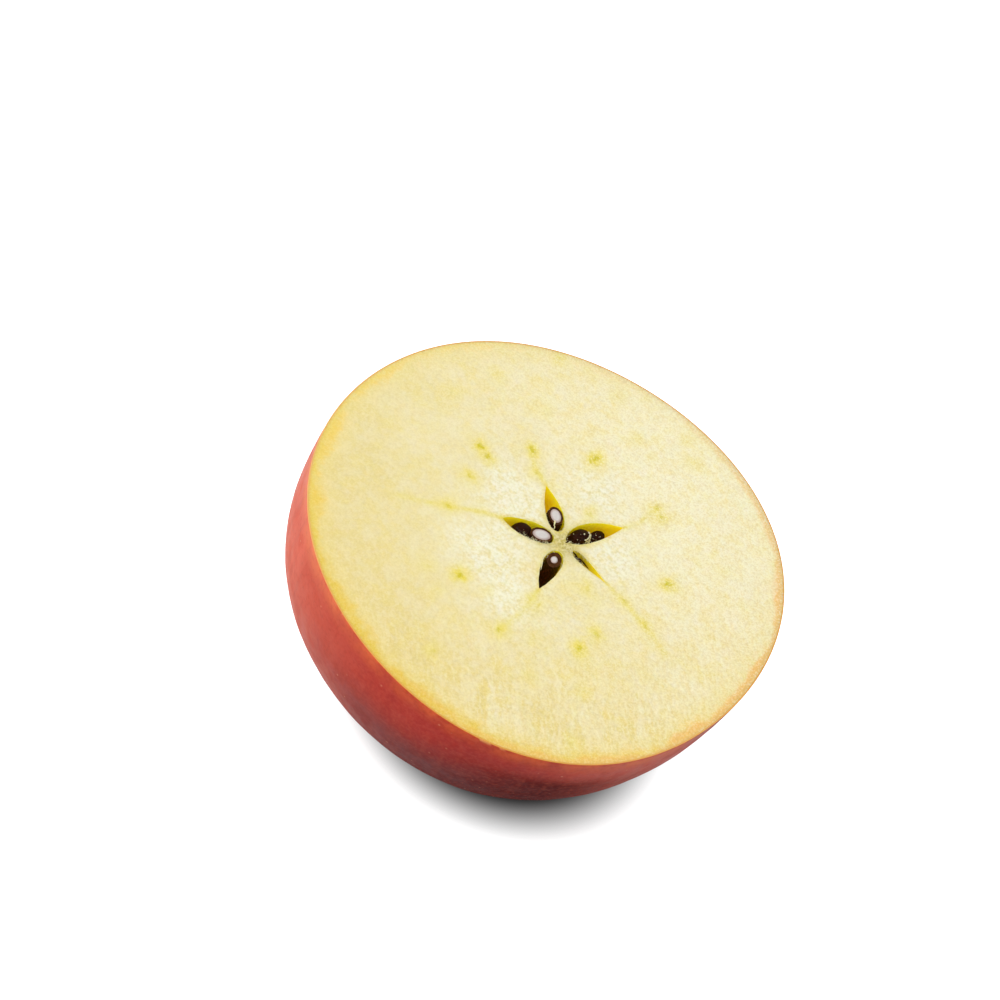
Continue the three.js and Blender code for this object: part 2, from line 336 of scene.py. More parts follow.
# %% The lip of a pocket
def pocket_edge(pocket, along, side):
    """The outline at a share along the pocket: the straight line from its inner end to its
    tip, plus to the left bow · 4 · along · (1 - along) + side · half width · hump(along)."""
    inner, tip, half, peak, bow, power, _ = pocket
    inner, way = np.array(inner), np.array(tip) - inner
    left = np.array([-way[1], way[0]]) / np.hypot(*way)
    across = bow * 4 * along * (1 - along) + side * half * hump(along, peak, power)
    return inner + way * along[..., None] + left * across[..., None]


def pocket_heart(pocket):
    """The point that a pocket's outline shrinks towards, under its widest part."""
    inner, tip, _, peak, *_ = pocket
    return np.array(inner) + (np.array(tip) - inner) * peak


LIP_RAGGED, LIP_TEAR = 0.045, 0.33  # how far the parchment lining tears in and out, and how often
LIP_SAMPLES = 1441


def pocket_lip(pocket, border):
    """Points of the lip, one for each point of the border, in the same direction from the
    pocket's heart. The one nearest to the tip is moved on to it, so that the tip stays sharp."""
    around = np.linspace(0, 2 * np.pi, LIP_SAMPLES)
    outline = pocket_edge(pocket, (1 - np.cos(around)) / 2, -np.sign(np.sin(around)))
    heart = pocket_heart(pocket)
    outline_angle = np.unwrap(np.arctan2(*(outline - heart).T[::-1]))
    angle = np.arctan2(*(border - heart).T[::-1])
    lip = np.stack([np.interp(angle, outline_angle, c, period=2 * np.pi) for c in outline.T], -1)
    torn = LIP_RAGGED * uneven(*lip.T / LIP_TEAR, 11)
    lip = lip + unit(lip - heart) * torn[:, None]
    tip_angle = np.arctan2(*(np.array(pocket[1]) - heart)[::-1])
    nearest = np.argmin(np.abs(np.angle(np.exp(1j * (angle - tip_angle)))))
    lip[nearest] = pocket[1]
    return lip


# %% The relief of the cut face
# Crisp edges where a flake of flesh stands a little proud: start, end, height, reach
TEARS = [((-12.0, 6.9), (-5.0, 2.7), 0.04, 3.6), ((4.2, -38.8), (0.4, -30.0), 0.05, 3.0)]
TEAR_SWAY, TEAR_BENDS = 0.35, 9
TEAR_STEP = 0.3  # mm over which a flake rises


def tears(x, y):
    """The height of the flakes: full close to a tear's line on its right side, and fading
    away from it as exp(-distance / reach), and at its ends."""
    total = np.zeros(x.shape)
    for start, end, height, reach in TEARS:
        way = np.subtract(end, start)
        length = np.hypot(*way)
        along = ((x - start[0]) * way[0] + (y - start[1]) * way[1]) / length**2
        line = TEAR_SWAY * uneven(along * TEAR_BENDS, np.zeros_like(along), 5)
        under = ((x - start[0]) * way[1] - (y - start[1]) * way[0]) / length - line
        ends = np.clip(4 * along * (1 - along), 0, 1) ** 0.5 * ((along > 0) & (along < 1))
        fading = np.exp(-np.clip(under, 0, None) / reach)
        total += height * np.clip(under / TEAR_STEP, 0, 1) * fading * ends
    return total


KNIFE_WAY = math.radians(-58)  # the way the knife went


def knife_frame(x, y):
    """How far a point lies along the knife's way and across it, in mm."""
    along = x * math.cos(KNIFE_WAY) + y * math.sin(KNIFE_WAY)
    return along, y * math.cos(KNIFE_WAY) - x * math.sin(KNIFE_WAY)


# Sides of the face that differ: towards which turn in degrees, from which radius to which. The
# knife dragged the cells on the side that it left last. Gold is a tone of the flesh, and the cream
# side is paler, partly a tone of the flesh and partly painted light on that side. The calm side
# is less mottled, and a bare rim has no yellow band where another has an orange.
SIDES = {
    "drag": (-35, 10, 34),
    "cream_and_lit": (50, 6, 22),
    "gold": (256, 16, 38),
    "calm": (205, 0, 20),
    "bare_rim": (58, 31, 37),
    "orange_rim": (-6, 20, 36),
}


def side_of_face(x, y, name):
    """From 0 to 1: ((1 + cos(turn - towards)) / 2)² times a ramp over the radius."""
    towards, start, end = SIDES[name]
    turn, distance = round_middle(x, y)
    lobe = (0.5 + 0.5 * np.cos(turn - math.radians(towards))) ** 2
    return lobe * np.clip((distance - start) / (end - start), 0, 1)


# Height and size in mm, and seed: long waves from the knife, dents, torn grains in two sizes
RELIEF = [(0.05, 9, 9, 1), (0.02, 4, 4, 2), (0.007, 1.7, 1.7, 3), (0.004, 0.7, 0.7, 4)]
KNIFE_MARKS = [(0.012, 0.6, 2.6, 6)]


def face_relief(x, y):
    """Height over the cut in mm: the relief, marks that follow the knife's way, and the tears."""
    along, across = knife_frame(x, y)
    marks = uneven_sum(across, along, KNIFE_MARKS) * side_of_face(x, y, "drag")
    return uneven_sum(x, y, RELIEF) + marks + tears(x, y)


print("relief at the core's axis:", face_relief(np.zeros(1), np.zeros(1)).round(3), "mm")

# %% [markdown]
# ### Wedges, spokes and rings
#
# The wedges meet at a hub between the pockets' inner ends. Five spokes run from the hub out
# to a circle, each through the narrow wall of flesh between two pockets. A wedge's border
# goes out along one spoke, round an arc of the circle and back along the next spoke.

# %% Plan of the disc round the core
HUB = np.array([0.1, -0.1])
SPOKES = np.radians([18, 98, 160, 232, 304])  # between the pockets, from the one before east
DISC_RADIUS = 13.5
ARC_STEPS, SPOKE_STEPS = 108, 26
LIP_RINGS, POCKET_RINGS, FACE_RINGS, UNDER_RINGS = 22, 16, 84, 26
SPOKE_CROWDING, LIP_CROWDING = 1.5, 1.3  # above 1, the steps are shorter near the hub and the lip
FLATTENING = 8  # the relief fades out within the last rings before the rim
CALYX_CLEARANCE, CLEARANCE_POWER = 0.6, 4  # extra depth of the hidden flesh, late in the fall
TUCK = 0.07  # how far the flesh reaches into the skin, so that no gap shows
RIM_DROP = 0.008  # how far its edge lies under the skin's

arc_ends = np.append(SPOKES, SPOKES[0] + 2 * np.pi)
turns = np.linspace(arc_ends[:-1], arc_ends[1:], ARC_STEPS, endpoint=False).T.ravel()
spoke_shares = (np.arange(1, SPOKE_STEPS) / SPOKE_STEPS) ** SPOKE_CROWDING
circle = DISC_RADIUS * np.stack([np.cos(turns), np.sin(turns)], -1)
spoke_ends = circle[::ARC_STEPS]
spokes = HUB + (spoke_ends - HUB)[:, None] * spoke_shares[:, None]
print(len(turns), "columns round the face")


def on_face(plan):
    """Plan points, in mm, lifted to the relief of the cut face."""
    return np.concatenate([plan, face_relief(plan[..., 0], plan[..., 1])[..., None]], -1)


# %% The cut face, the pockets and the flesh under the skin
flesh = Surface()
hub_number = flesh.add(on_face(HUB[None]))[0]
spoke_numbers = flesh.add(on_face(spokes))

rim_shares = np.linspace(0, 1, FACE_RINGS)[:, None, None]
under_turns, under_falls = np.meshgrid(turns, np.linspace(0, np.pi / 2, UNDER_RINGS)[:-1])
hidden = SKIN - TUCK + CALYX_CLEARANCE * (under_falls / (np.pi / 2)) ** CLEARANCE_POWER
under = skin_point(under_turns, under_falls, hidden)
face_plan = circle * (1 - rim_shares) + under[0, :, :2] * rim_shares
face = on_face(face_plan)
face[..., 2] *= 1 - rim_shares[..., 0] ** FLATTENING
face[-1, :, 2] = -RIM_DROP
face_numbers = flesh.add(face)
flesh.patch(face_numbers)
print("the polar grid has", face_numbers.shape, "points")

# %% Five wedges, each with its pocket
LINING = 1  # the pockets' finish
WRINKLE, WRINKLE_COLUMNS, WRINKLE_ROWS = 0.03, 5, 4  # depth, columns in a fold, folds down
FAR = 9.0  # taken as the distance where no lip is near
lip_distance = np.full(flesh.count, FAR)  # how far each point lies from the nearest lip
lips = []
for k, (name, pocket) in enumerate(POCKETS.items()):
    arc = face_numbers[0][np.arange(k * ARC_STEPS, (k + 1) * ARC_STEPS + 1) % len(turns)]
    back = spoke_numbers[(k + 1) % LOBES][::-1]
    border_numbers = np.concatenate([[hub_number], spoke_numbers[k], arc, back])
    border = np.concatenate(flesh.points)[border_numbers][:, :2]
    lip = pocket_lip(pocket, border)
    lips.append(lip)
    shares = (np.arange(LIP_RINGS)[:, None, None] / LIP_RINGS) ** LIP_CROWDING
    rings = lip * (1 - shares) + border * shares
    ring_numbers = flesh.add(on_face(rings))
    flesh.patch(np.concatenate([ring_numbers, border_numbers[None]]))
    distances = np.linalg.norm(rings - lip, axis=-1)
    falls = np.sin(np.pi / 2 * np.arange(1, POCKET_RINGS) / POCKET_RINGS)[:, None]
    size = (1 + POCKET_SWELL * np.sin(np.pi * falls)) * np.sqrt(1 - falls**POCKET_TAPER)
    folds = uneven(np.arange(len(lip)) / WRINKLE_COLUMNS, WRINKLE_ROWS * falls, 20 + k)
    wrinkle = 1 + WRINKLE * falls * folds * (1 - falls)
    heart = pocket_heart(pocket)
    drawn = heart * (1 - POCKET_DRAFT * falls[..., None])
    wall_plan = (lip - heart) * (size * wrinkle)[..., None] + drawn
    depth = np.broadcast_to(-pocket[-1] * falls, wall_plan.shape[:2])
    wall_numbers = flesh.add(np.concatenate([wall_plan, depth[..., None]], -1))
    wall = np.concatenate([ring_numbers[:1], wall_numbers])[:, ::-1]
    flesh.patch(wall, LINING)
    flesh.cap(wall[-1], np.append(heart * (1 - POCKET_DRAFT), -pocket[-1]), LINING)
    lip_distance = np.concatenate([lip_distance, distances.ravel(), np.zeros(wall_numbers.size + 1)])
    print(name, "pocket:", len(lip), "columns, rings up to", distances[-1].max().round(1), "mm out")

# %% The side of the flesh, hidden under the skin
under_numbers = flesh.add(rest_on_floor(under[1:], SKIN - TUCK))
under_numbers = np.concatenate([face_numbers[-1:], under_numbers])
flesh.patch(under_numbers)
flesh.cap(under_numbers[-1], calyx_point(SKIN - TUCK + CALYX_CLEARANCE))
flesh_points = np.concatenate(flesh.points)
lip_distance = np.append(lip_distance, np.full(len(flesh_points) - len(lip_distance), FAR))
near_hub = slice(0, spoke_numbers.max() + 1)
gaps = flesh_points[near_hub, None, :2] - np.concatenate(lips)
lip_distance[near_hub] = np.linalg.norm(gaps, axis=-1).min(1)
print("the flesh has", flesh.count, "points")

# %% [markdown]
# ## What the flesh's colours follow
#
# Colour in flesh isn't even noise: it follows the fruit's own plan. It is yellow to orange
# close under the skin, whitish where air fills the cells round the core, and greenish yellow
# where the knife meets the veins that feed the fruit. Those ten or so veins lie on a ring
# half-way out, with finer ones beyond them. Each such fact is worked out once, here, as a
# number at every point of the mesh, and the material only turns the numbers into colours.

# %% Veins: place and strength
# x, y, strength
VEINS = np.array(
    [
        (-1.8, 18.8, 0.9), (-2.4, 17.6, 0.6), (-11.4, 13.3, 0.75), (-18.6, 8.4, 0.8),
        (-16.9, 7.3, 0.75), (-17.6, 2.1, 0.6), (-18.2, -5.4, 0.6), (-11.1, -15.8, 1.0),
        (10.3, 16.2, 0.6), (11.8, 14.9, 0.65), (17.7, 3.7, 0.8), (13.0, -3.8, 0.5),
        (17.5, -5.8, 0.5), (11.5, -12.1, 0.6), (10.1, -16.2, 0.85), (-1.6, -21.1, 0.65),
        (0.1, -12.9, 0.4), (1.6, -13.0, 0.45), (-9.0, 9.8, 0.45), (1.6, 8.1, 0.4),
        (-13.2, -2.9, 0.25), (-6.5, -15.7, 0.25), (3.3, -18.8, 0.35), (13.6, -22.7, 0.3),
        (6.8, -5.1, 0.35), (-16.0, -17.7, 0.3), (-12.7, -20.4, 0.3), (-13.0, 22.5, 0.25),
        (-21.7, 22.6, 0.25), (-27.0, 15.3, 0.25), (-15.3, 33.4, 0.4), (-3.7, 32.8, 0.3),
        (9.7, 32.8, 0.3), (11.9, 28.4, 0.3), (2.4, 26.7, 0.25), (-8.7, -30.5, 0.4),
        (5.5, -25.5, 0.25), (16.1, -32.2, 0.3), (20.5, -14.0, 0.25), (24.5, 12.0, 0.25),
    ]
)
VEIN_WIDTH, VEIN_HEART = 1.4, 0.46  # how wide the stain is, and its dark middle
VEIN_RAGGED, VEIN_TATTER = 0.35, 0.7  # how far its edge goes in and out, and how often
VEIN_SMEAR = 0.75  # below 1, it is drawn out towards the core
LINE_WIDTH = 0.55
# The faint line round the core, from the left rim to a pocket's tip and from tips outwards
CORE_LINES = [
    [(-25.3, -8.6), (-18.1, -5.5), (-13.0, -2.9), (-9.8, -1.9)],
    [(9.0, -2.4), (13.5, -4.1), (17.6, -5.8), (22.0, -8.5)],
    [(-6.5, 8.5), (-9.2, 10.1), (-11.4, 13.2)],
    [(7.3, 9.2), (9.0, 11.6), (10.4, 15.6)],
    [(0.45, -10.3), (0.2, -14.5), (-1.5, -20.5)],
]
print(len(VEINS), "veins and", len(CORE_LINES), "stretches of the core line")


# %% How strongly a point is stained by veins and by the core line
def ragged(x, y, height, size, seeds):
    """The points shifted by a smooth unevenness, which breaks a round form."""
    shift = [height * uneven(x / size, y / size, seed) for seed in seeds]
    return np.stack([x + shift[0], y + shift[1]], -1)


def vein_stain(x, y, width):
    """For each vein strength · bell(d, width), with the distance d shortened along the radius,
    so that a stain is a smear that points at the core. The strongest one counts."""
    offset = ragged(x, y, VEIN_RAGGED, VEIN_TATTER, (33, 34))[:, None] - VEINS[:, :2]
    out = unit(VEINS[:, :2])
    along = (offset * out).sum(-1) * VEIN_SMEAR
    across = offset[..., 0] * out[:, 1] - offset[..., 1] * out[:, 0]
    return (VEINS[:, 2] * bell(np.hypot(along, across), width)).max(1)


def line_stain(x, y):
    """A bell over the distance to the nearest stretch of the core line."""
    nearest = np.full(x.shape, np.inf)
    for line in CORE_LINES:
        for start, end in zip(line, line[1:]):
            way = np.subtract(end, start)
            share = np.clip(((x - start[0]) * way[0] + (y - start[1]) * way[1]) / (way @ way), 0, 1)
            gap = np.hypot(x - start[0] - share * way[0], y - start[1] - share * way[1])
            nearest = np.minimum(nearest, gap)
    return bell(nearest, LINE_WIDTH)


# %% Where the flesh is whitish, and where it is warmer
# Each spot is x, y, reach, as are the core and the painted shade in the nearly closed pocket
PALE = [(-9, 1.5, 5), (-9.5, -9.5, 5), (-3, -15, 4), (1, 12, 5), (-13, 5, 3), (8, 3, 4)]
WARM = [(3.5, -6.5, 3.5), (7.5, -5.5, 3), (-4.5, 9.5, 3), (1.5, 8.2, 1.4), (13.5, -17, 3)]
CORE = (0.2, 0, 2.7)
SLIT_SHADE = (3.4, -0.8, 2.2)
PATCH_RAGGED, PATCH_TATTER = 1.2, 2.5
CORE_PALE, CORE_PALE_REACH = 0.4, 15  # the flesh is a little whitish all round the core
FLAKE_PALE = 9  # a flake of some hundredths of a millimetre is whitish
FACE_DEPTH = 0.6  # what lies deeper isn't the cut face
SIDE_VALUE = 0.3  # taken as the distance from the skin all over the flesh's hidden side


def spot(points, x, y, reach):
    """A bell over the distance from one spot."""
    return bell(np.hypot(points[:, 0] - x, points[:, 1] - y), reach)


def patches(x, y, spots):
    """The sum of the spots, with their edges made uneven."""
    points = ragged(x, y, PATCH_RAGGED, PATCH_TATTER, (31, 32))
    return sum(spot(points, *row) for row in spots).clip(0, 1)


plan = flesh_points[:, :2].T
turn_at, distance_at = round_middle(*plan)
facing_up = (flesh_points[:, 2] > -FACE_DEPTH).astype(float)
core_pale = CORE_PALE * bell(np.hypot(*plan), CORE_PALE_REACH)
flesh_values = {name: side_of_face(*plan, name) for name in SIDES}
flesh_values |= {
    "under_skin": np.where(facing_up > 0, rim_radius(turn_at) - distance_at, SIDE_VALUE),
    "vein": vein_stain(*plan, VEIN_WIDTH) * facing_up,
    "vein_heart": vein_stain(*plan, VEIN_HEART) * facing_up,
    "core_line": line_stain(*plan) * facing_up,
    "pale": np.clip(patches(*plan, PALE) + core_pale + FLAKE_PALE * tears(*plan), 0, 1),
    "warm": patches(*plan, WARM),
    "core": spot(flesh_points, *CORE),
    "knife": np.stack([*knife_frame(*plan), np.zeros(flesh.count)], -1),
    "lip": lip_distance,
    "below_lip": -flesh_points[:, 2],
    "shaded": spot(flesh_points, *SLIT_SHADE),
}
print("values kept at each point of the flesh:", ", ".join(flesh_values))

# %% [markdown]
# ## Tools for materials
#
# A material is a small program made of nodes. Fifty nodes placed one by one are hard to
# read, so a few short functions add a node, link its inputs and hand back its output.
# Colours are noted as a screen shows them and turned into the linear values that light is
# worked out in. Every pattern reads Object coordinates in millimetres, so its size is real.

# %% Colours, and a net of nodes
def colour(red, green, blue):
    """Linear values from 0-255 screen values: ((c + 0.055) / 1.055)^2.4, or c / 12.92 if dark."""
    shares = [c / 255 for c in (red, green, blue)]
    return tuple(s / 12.92 if s < 0.04 else ((s + 0.055) / 1.055) ** 2.4 for s in shares) + (1,)


DETAIL = 2.5  # how many times the noise is laid over itself at half the size


class Net:
    """Short ways to add nodes to a tree. An input is a number, a colour or an output."""

    def __init__(self, tree):
        self.tree = tree

    def node(self, kind, inputs, output=0, **settings):
        """A node with its settings and its inputs, by number or by name. Gives one output."""
        node = self.tree.nodes.new("ShaderNode" + kind)
        for key, value in settings.items():
            setattr(node, key, value)
        for key, value in inputs.items():
            if isinstance(value, bpy.types.NodeSocket):
                self.tree.links.new(value, node.inputs[key])
            else:
                node.inputs[key].default_value = value
        return node.outputs[output]

    def millimetres(self):
        """Object coordinates, in millimetres."""
        place = self.node("TexCoord", {}, "Object")
        return self.node("VectorMath", {0: place, 3: 1 / MM}, operation="SCALE")

    def kept(self, name, part="Fac"):
        """A value that the mesh keeps at each point."""
        return self.node("Attribute", {}, part, attribute_name=name)

    def stretched(self, vector, factors, contrast=3.0):
        """Noise from 0 to 1 along a vector whose parts are each multiplied by a factor."""
        place = self.node("VectorMath", {0: vector, 1: factors}, operation="MULTIPLY")
        noise = self.node("TexNoise", {"Vector": place, "Scale": 1.0, "Detail": DETAIL})
        return self.plus(self.times(self.plus(noise, -0.5), contrast), 0.5, clamp=True)

    def times(self, *factors):
        """The product of all the factors. One in brackets is what slope needs."""
        outputs = [self.slope(*factor) if isinstance(factor, tuple) else factor for factor in factors]
        product = outputs[0]
        for output in outputs[1:]:
            product = self.node("Math", {0: product, 1: output}, operation="MULTIPLY")
        return product

    def plus(self, one, other, clamp=False):
        """The sum, held between 0 and 1 if clamp is set."""
        return self.node("Math", {0: one, 1: other}, operation="ADD", use_clamp=clamp)

    def slope(self, value, start, end, low=0.0, high=1.0):
        """A smooth step: low at start, high at end, and even beyond them."""
        inputs = {0: value, 1: start, 2: end, 3: low, 4: high}
        return self.node("MapRange", inputs, interpolation_type="SMOOTHSTEP")

    def layers(self, ground, *coats):
        """Colours laid one over another. Each coat is a colour and the factors of its share."""
        ground = colour(*ground)
        for tint, *share in coats:
            tint = colour(*tint) if isinstance(tint, tuple) else tint
            ground = self.node("Mix", {0: self.times(*share), 6: ground, 7: tint}, 2, data_type="RGBA")
        return ground

    def group(self, name, output, **inputs):
        """One output of a shared effect, with this material's own values for its inputs."""
        node = self.tree.nodes.new("ShaderNodeGroup")
        node.node_tree = bpy.data.node_groups[name]
        for key, value in inputs.items():
            node.inputs[key].default_value = value
        return node.outputs[output]

    def mottle(self, size, contrast=3.0):
        """Soft clouds from 0 to 1 of a size in millimetres."""
        return self.group("mottle", "Tone", Size=size, Contrast=contrast)

    def grain_bump(self, size, depth):
        """A normal for wet grain of a size and a depth in millimetres."""
        return self.bump(self.group("wet_grain", "Height", Size=size), depth)

    def bump(self, height, depth):
        """A normal for a height from 0 to 1, where 1 stands for a depth in millimetres."""
        return self.node("Bump", {"Height": height, "Distance": depth * MM})


print("a yellow in linear values:", [round(c, 3) for c in colour(230, 200, 60)])


# %% Effects that several materials share
def shared_effect(name, inputs, outputs):
    """An empty node group with named inputs, each with its value, and named outputs."""
    tree = bpy.data.node_groups.new(name, "ShaderNodeTree")
    for key, value in inputs.items():
        socket = tree.interface.new_socket(key, in_out="INPUT", socket_type="NodeSocketFloat")
        socket.default_value = value
    for key in outputs:
        tree.interface.new_socket(key, in_out="OUTPUT", socket_type="NodeSocketFloat")
    source, sink = (tree.nodes.new("NodeGroup" + end) for end in ("Input", "Output"))
    return Net(tree), source.outputs, sink.inputs


net, source, sink = shared_effect("mottle", {"Size": 1.0, "Contrast": 2.0}, ["Tone"])
scale = net.node("Math", {0: 1.0, 1: source["Size"]}, operation="DIVIDE")
noise = net.node("TexNoise", {"Vector": net.millimetres(), "Scale": scale, "Detail": DETAIL})
spread = net.times(net.plus(noise, -0.5), source["Contrast"])
net.tree.links.new(net.plus(spread, 0.5, clamp=True), sink["Tone"])

net, source, sink = shared_effect("wet_grain", {"Size": 0.5}, ["Height", "Roughness"])
scale = net.node("Math", {0: 1.0, 1: source["Size"]}, operation="DIVIDE")
where = net.millimetres()
coarse = net.node("TexNoise", {"Vector": where, "Scale": scale, "Detail": 2.0, "Roughness": 0.6})
cells = net.node("TexVoronoi", {"Vector": where, "Scale": net.times(scale, 1.7)}, "Distance")
height = net.plus(net.times(coarse, 0.7), net.times(cells, 0.3))
net.tree.links.new(height, sink["Height"])
net.tree.links.new(net.slope(height, 0.35, 0.65, 0.3, 0.52), sink["Roughness"])
print("shared effects:", ", ".join(g.name for g in bpy.data.node_groups))


def new_material(name, **values):
    """A material with one Principled shader. The values are set on the shader's own sockets."""
    material = bpy.data.materials.new(name)
    material.use_nodes = True
    shader = material.node_tree.nodes["Principled BSDF"]
    for key, value in values.items():
        shader.inputs[key.replace("_", " ")].default_value = value
    return material, Net(material.node_tree), shader


def finish_material(net, shader, **sockets):
    """Links each output to the shader's socket of that name."""
    for key, socket in sockets.items():
        net.tree.links.new(socket, shader.inputs[key.replace("_", " ")])


def cloudy_material(name, cloud, fine, ground, coats, rough, grain, **values):
    """The look of something small: a ground with clouds and specks. Cloud and fine are each a
    size and a contrast. The coats are for the clouds, for the specks and for any value that the
    mesh keeps. Rough is the roughness between and on the specks, grain a size and a depth."""
    material, net, shader = new_material(name, **values)
    cloud, fine = net.mottle(*cloud), net.mottle(*fine)
    over_clouds, over_specks, *kept = coats
    kept = [(tint, (net.kept(value), *ends)) for tint, value, *ends in kept]
    tone = net.layers(ground, (*over_clouds, cloud), (*over_specks, fine), *kept)
    rough = net.slope(fine, 0.0, 1.0, *rough)
    finish_material(net, shader, Base_Color=tone, Roughness=rough, Normal=net.grain_bump(*grain))
    return material


# %% [markdown]
# ## The look of cut flesh
#
# Moist flesh isn't a flat cream. Light soaks in a millimetre or so and comes out warmer, the
# cut cells are grains that glint, and the colour follows the fruit's plan. The layers go
# from the widest to the finest: broad tone, pale and warm patches, core line, the yellow and
# then orange band close under the skin, veins and core, and last the grain.

# %% Flesh
def flesh_material():
    """Flesh: broad tones, then what the mesh keeps at each point, then the grain."""
    material, net, shader = new_material(
        "moist_flesh",
        Subsurface_Weight=0.5,
        Subsurface_Radius=(1.0, 0.8, 0.35),
        Subsurface_Scale=1.2 * MM,
        IOR=1.36,
        Specular_IOR_Level=0.3,
    )
    broad, cloud, curd, grain, fine = (net.mottle(size) for size in (9.0, 2.6, 1.2, 0.55, 0.28))
    dragged, gold, cream_and_lit = net.kept("drag"), net.kept("gold"), net.kept("cream_and_lit")
    pale, core, under_skin = net.kept("pale"), net.kept("core"), net.kept("under_skin")
    lively = net.slope(net.kept("calm"), 0.0, 1.0, 1.0, 0.65)
    knife = net.kept("knife", "Vector")
    bands, fibres = net.stretched(knife, (0.09, 0.55, 1.0)), net.stretched(knife, (0.7, 1.7, 1.0))
    lobes = net.plus(net.times(broad, -1.2), net.plus(net.times(cloud, -1.5), net.times(curd, -0.8)))
    near_skin = net.plus(net.plus(under_skin, lobes), net.times(gold, -0.3))
    sunny = net.slope(net.kept("bare_rim"), 1.0, 0.0, 0.15, 1.0)
    band = net.layers((251, 222, 124), ((234, 203, 86), gold), ((248, 212, 134), cream_and_lit))
    line = net.layers((255, 214, 118), ((238, 188, 80), gold), ((247, 198, 124), cream_and_lit))
    orange = net.plus(under_skin, net.times(broad, -1.6))
    tone = net.layers(
        (235, 221, 160),
        # Broad tones of the sides, with painted light on the cream side, and clouds in them
        ((240, 228, 177), broad),
        ((240, 230, 194), (under_skin, 10.0, 26.0, 0.0, 0.4)),
        # painted light: the cream side is paler, partly the flesh's tone and partly light
        ((254, 245, 211), cream_and_lit, 0.9),
        ((229, 208, 134), gold, 0.85),
        ((243, 233, 196), lively, (cloud, 0.4, 1.0, 0.0, 0.4)),
        ((240, 222, 134), lively, (cloud, 0.6, 0.0, 0.0, 0.4)),
        ((247, 236, 200), lively, (curd, 0.4, 1.0, 0.0, 0.35)),
        ((237, 218, 138), lively, (curd, 0.6, 0.0, 0.0, 0.3)),
        # Bands and pulled fibres where the knife dragged
        ((250, 240, 204), dragged, (bands, 0.5, 0.9, 0.0, 0.35)),
        ((240, 218, 138), dragged, (bands, 0.5, 0.1, 0.0, 0.3)),
        ((255, 248, 216), dragged, (fibres, 0.5, 1.0, 0.0, 0.35)),
        ((232, 206, 124), dragged, (fibres, 0.4, 0.0, 0.0, 0.25)),
        # Whitish patches, which are curdled, and warmer ones
        ((246, 242, 216), pale, (curd, 0.1, 0.8, 0.35, 0.85)),
        ((236, 222, 146), pale, (curd, 0.4, 0.0, 0.0, 0.2)),
        ((252, 250, 234), pale, (grain, 0.45, 0.9, 0.0, 0.4)),
        ((224, 216, 140), pale, (grain, 0.45, 0.1, 0.0, 0.22)),
        ((240, 224, 130), net.kept("warm"), (cloud, 0.1, 0.9), 0.5),
        # The core line, and what lies close under the skin
        ((234, 220, 110), net.kept("core_line"), (cloud, 0.0, 1.0, 0.25, 0.75)),
        ((243, 222, 138), (near_skin, 3.5, 0.0, 0.0, 0.35), sunny),
        (band, (near_skin, 1.0, -1.6), sunny),
        (line, (under_skin, 0.75, 0.1, 0.0, 0.85)),
        ((248, 194, 112), net.kept("orange_rim"), (orange, 0.9, -0.1, 0.0, 0.85)),
        # Veins, lips and core
        ((238, 221, 98), net.kept("vein"), (curd, 0.1, 0.8, 0.8, 1.4)),
        ((216, 200, 38), (net.kept("vein_heart"), 0.1, 0.7), (grain, 0.0, 0.7, 0.6, 0.95)),
        ((234, 212, 88), (net.kept("lip"), 1.3, 0.0), net.plus(cloud, 0.2), 0.7),
        ((188, 170, 66), core, (grain, 0.1, 0.7, 0.2, 0.95)),
        ((228, 216, 132), core, (grain, 0.4, 0.0), 0.6),
        # The grain: the cells' own specks, with painted shade in the dark ones and painted glints in the
        # light ones
        ((140, 118, 44), lively, (grain, 0.6, 0.0, 0.0, 0.06)),
        ((255, 246, 200), lively, (grain, 0.5, 1.0, 0.0, 0.1)),
        ((140, 118, 44), lively, (fine, 0.6, 0.0, 0.0, 0.06)),
        ((255, 247, 204), lively, (fine, 0.4, 1.0, 0.0, 0.16)),
        ((255, 252, 230), cream_and_lit, (fine, 0.5, 0.95, 0.0, 0.3)),
        ((226, 204, 140), cream_and_lit, (fine, 0.45, 0.05, 0.0, 0.2)),
    )
    grained = net.times(net.group("wet_grain", "Height", Size=0.5), net.plus(dragged, 0.6), lively)
    height = net.plus(grained, net.times(fibres, dragged, 0.5))
    rough = net.group("wet_grain", "Roughness", Size=0.42)
    finish_material(net, shader, Base_Color=tone, Roughness=rough, Normal=net.bump(height, 0.022))
    return material


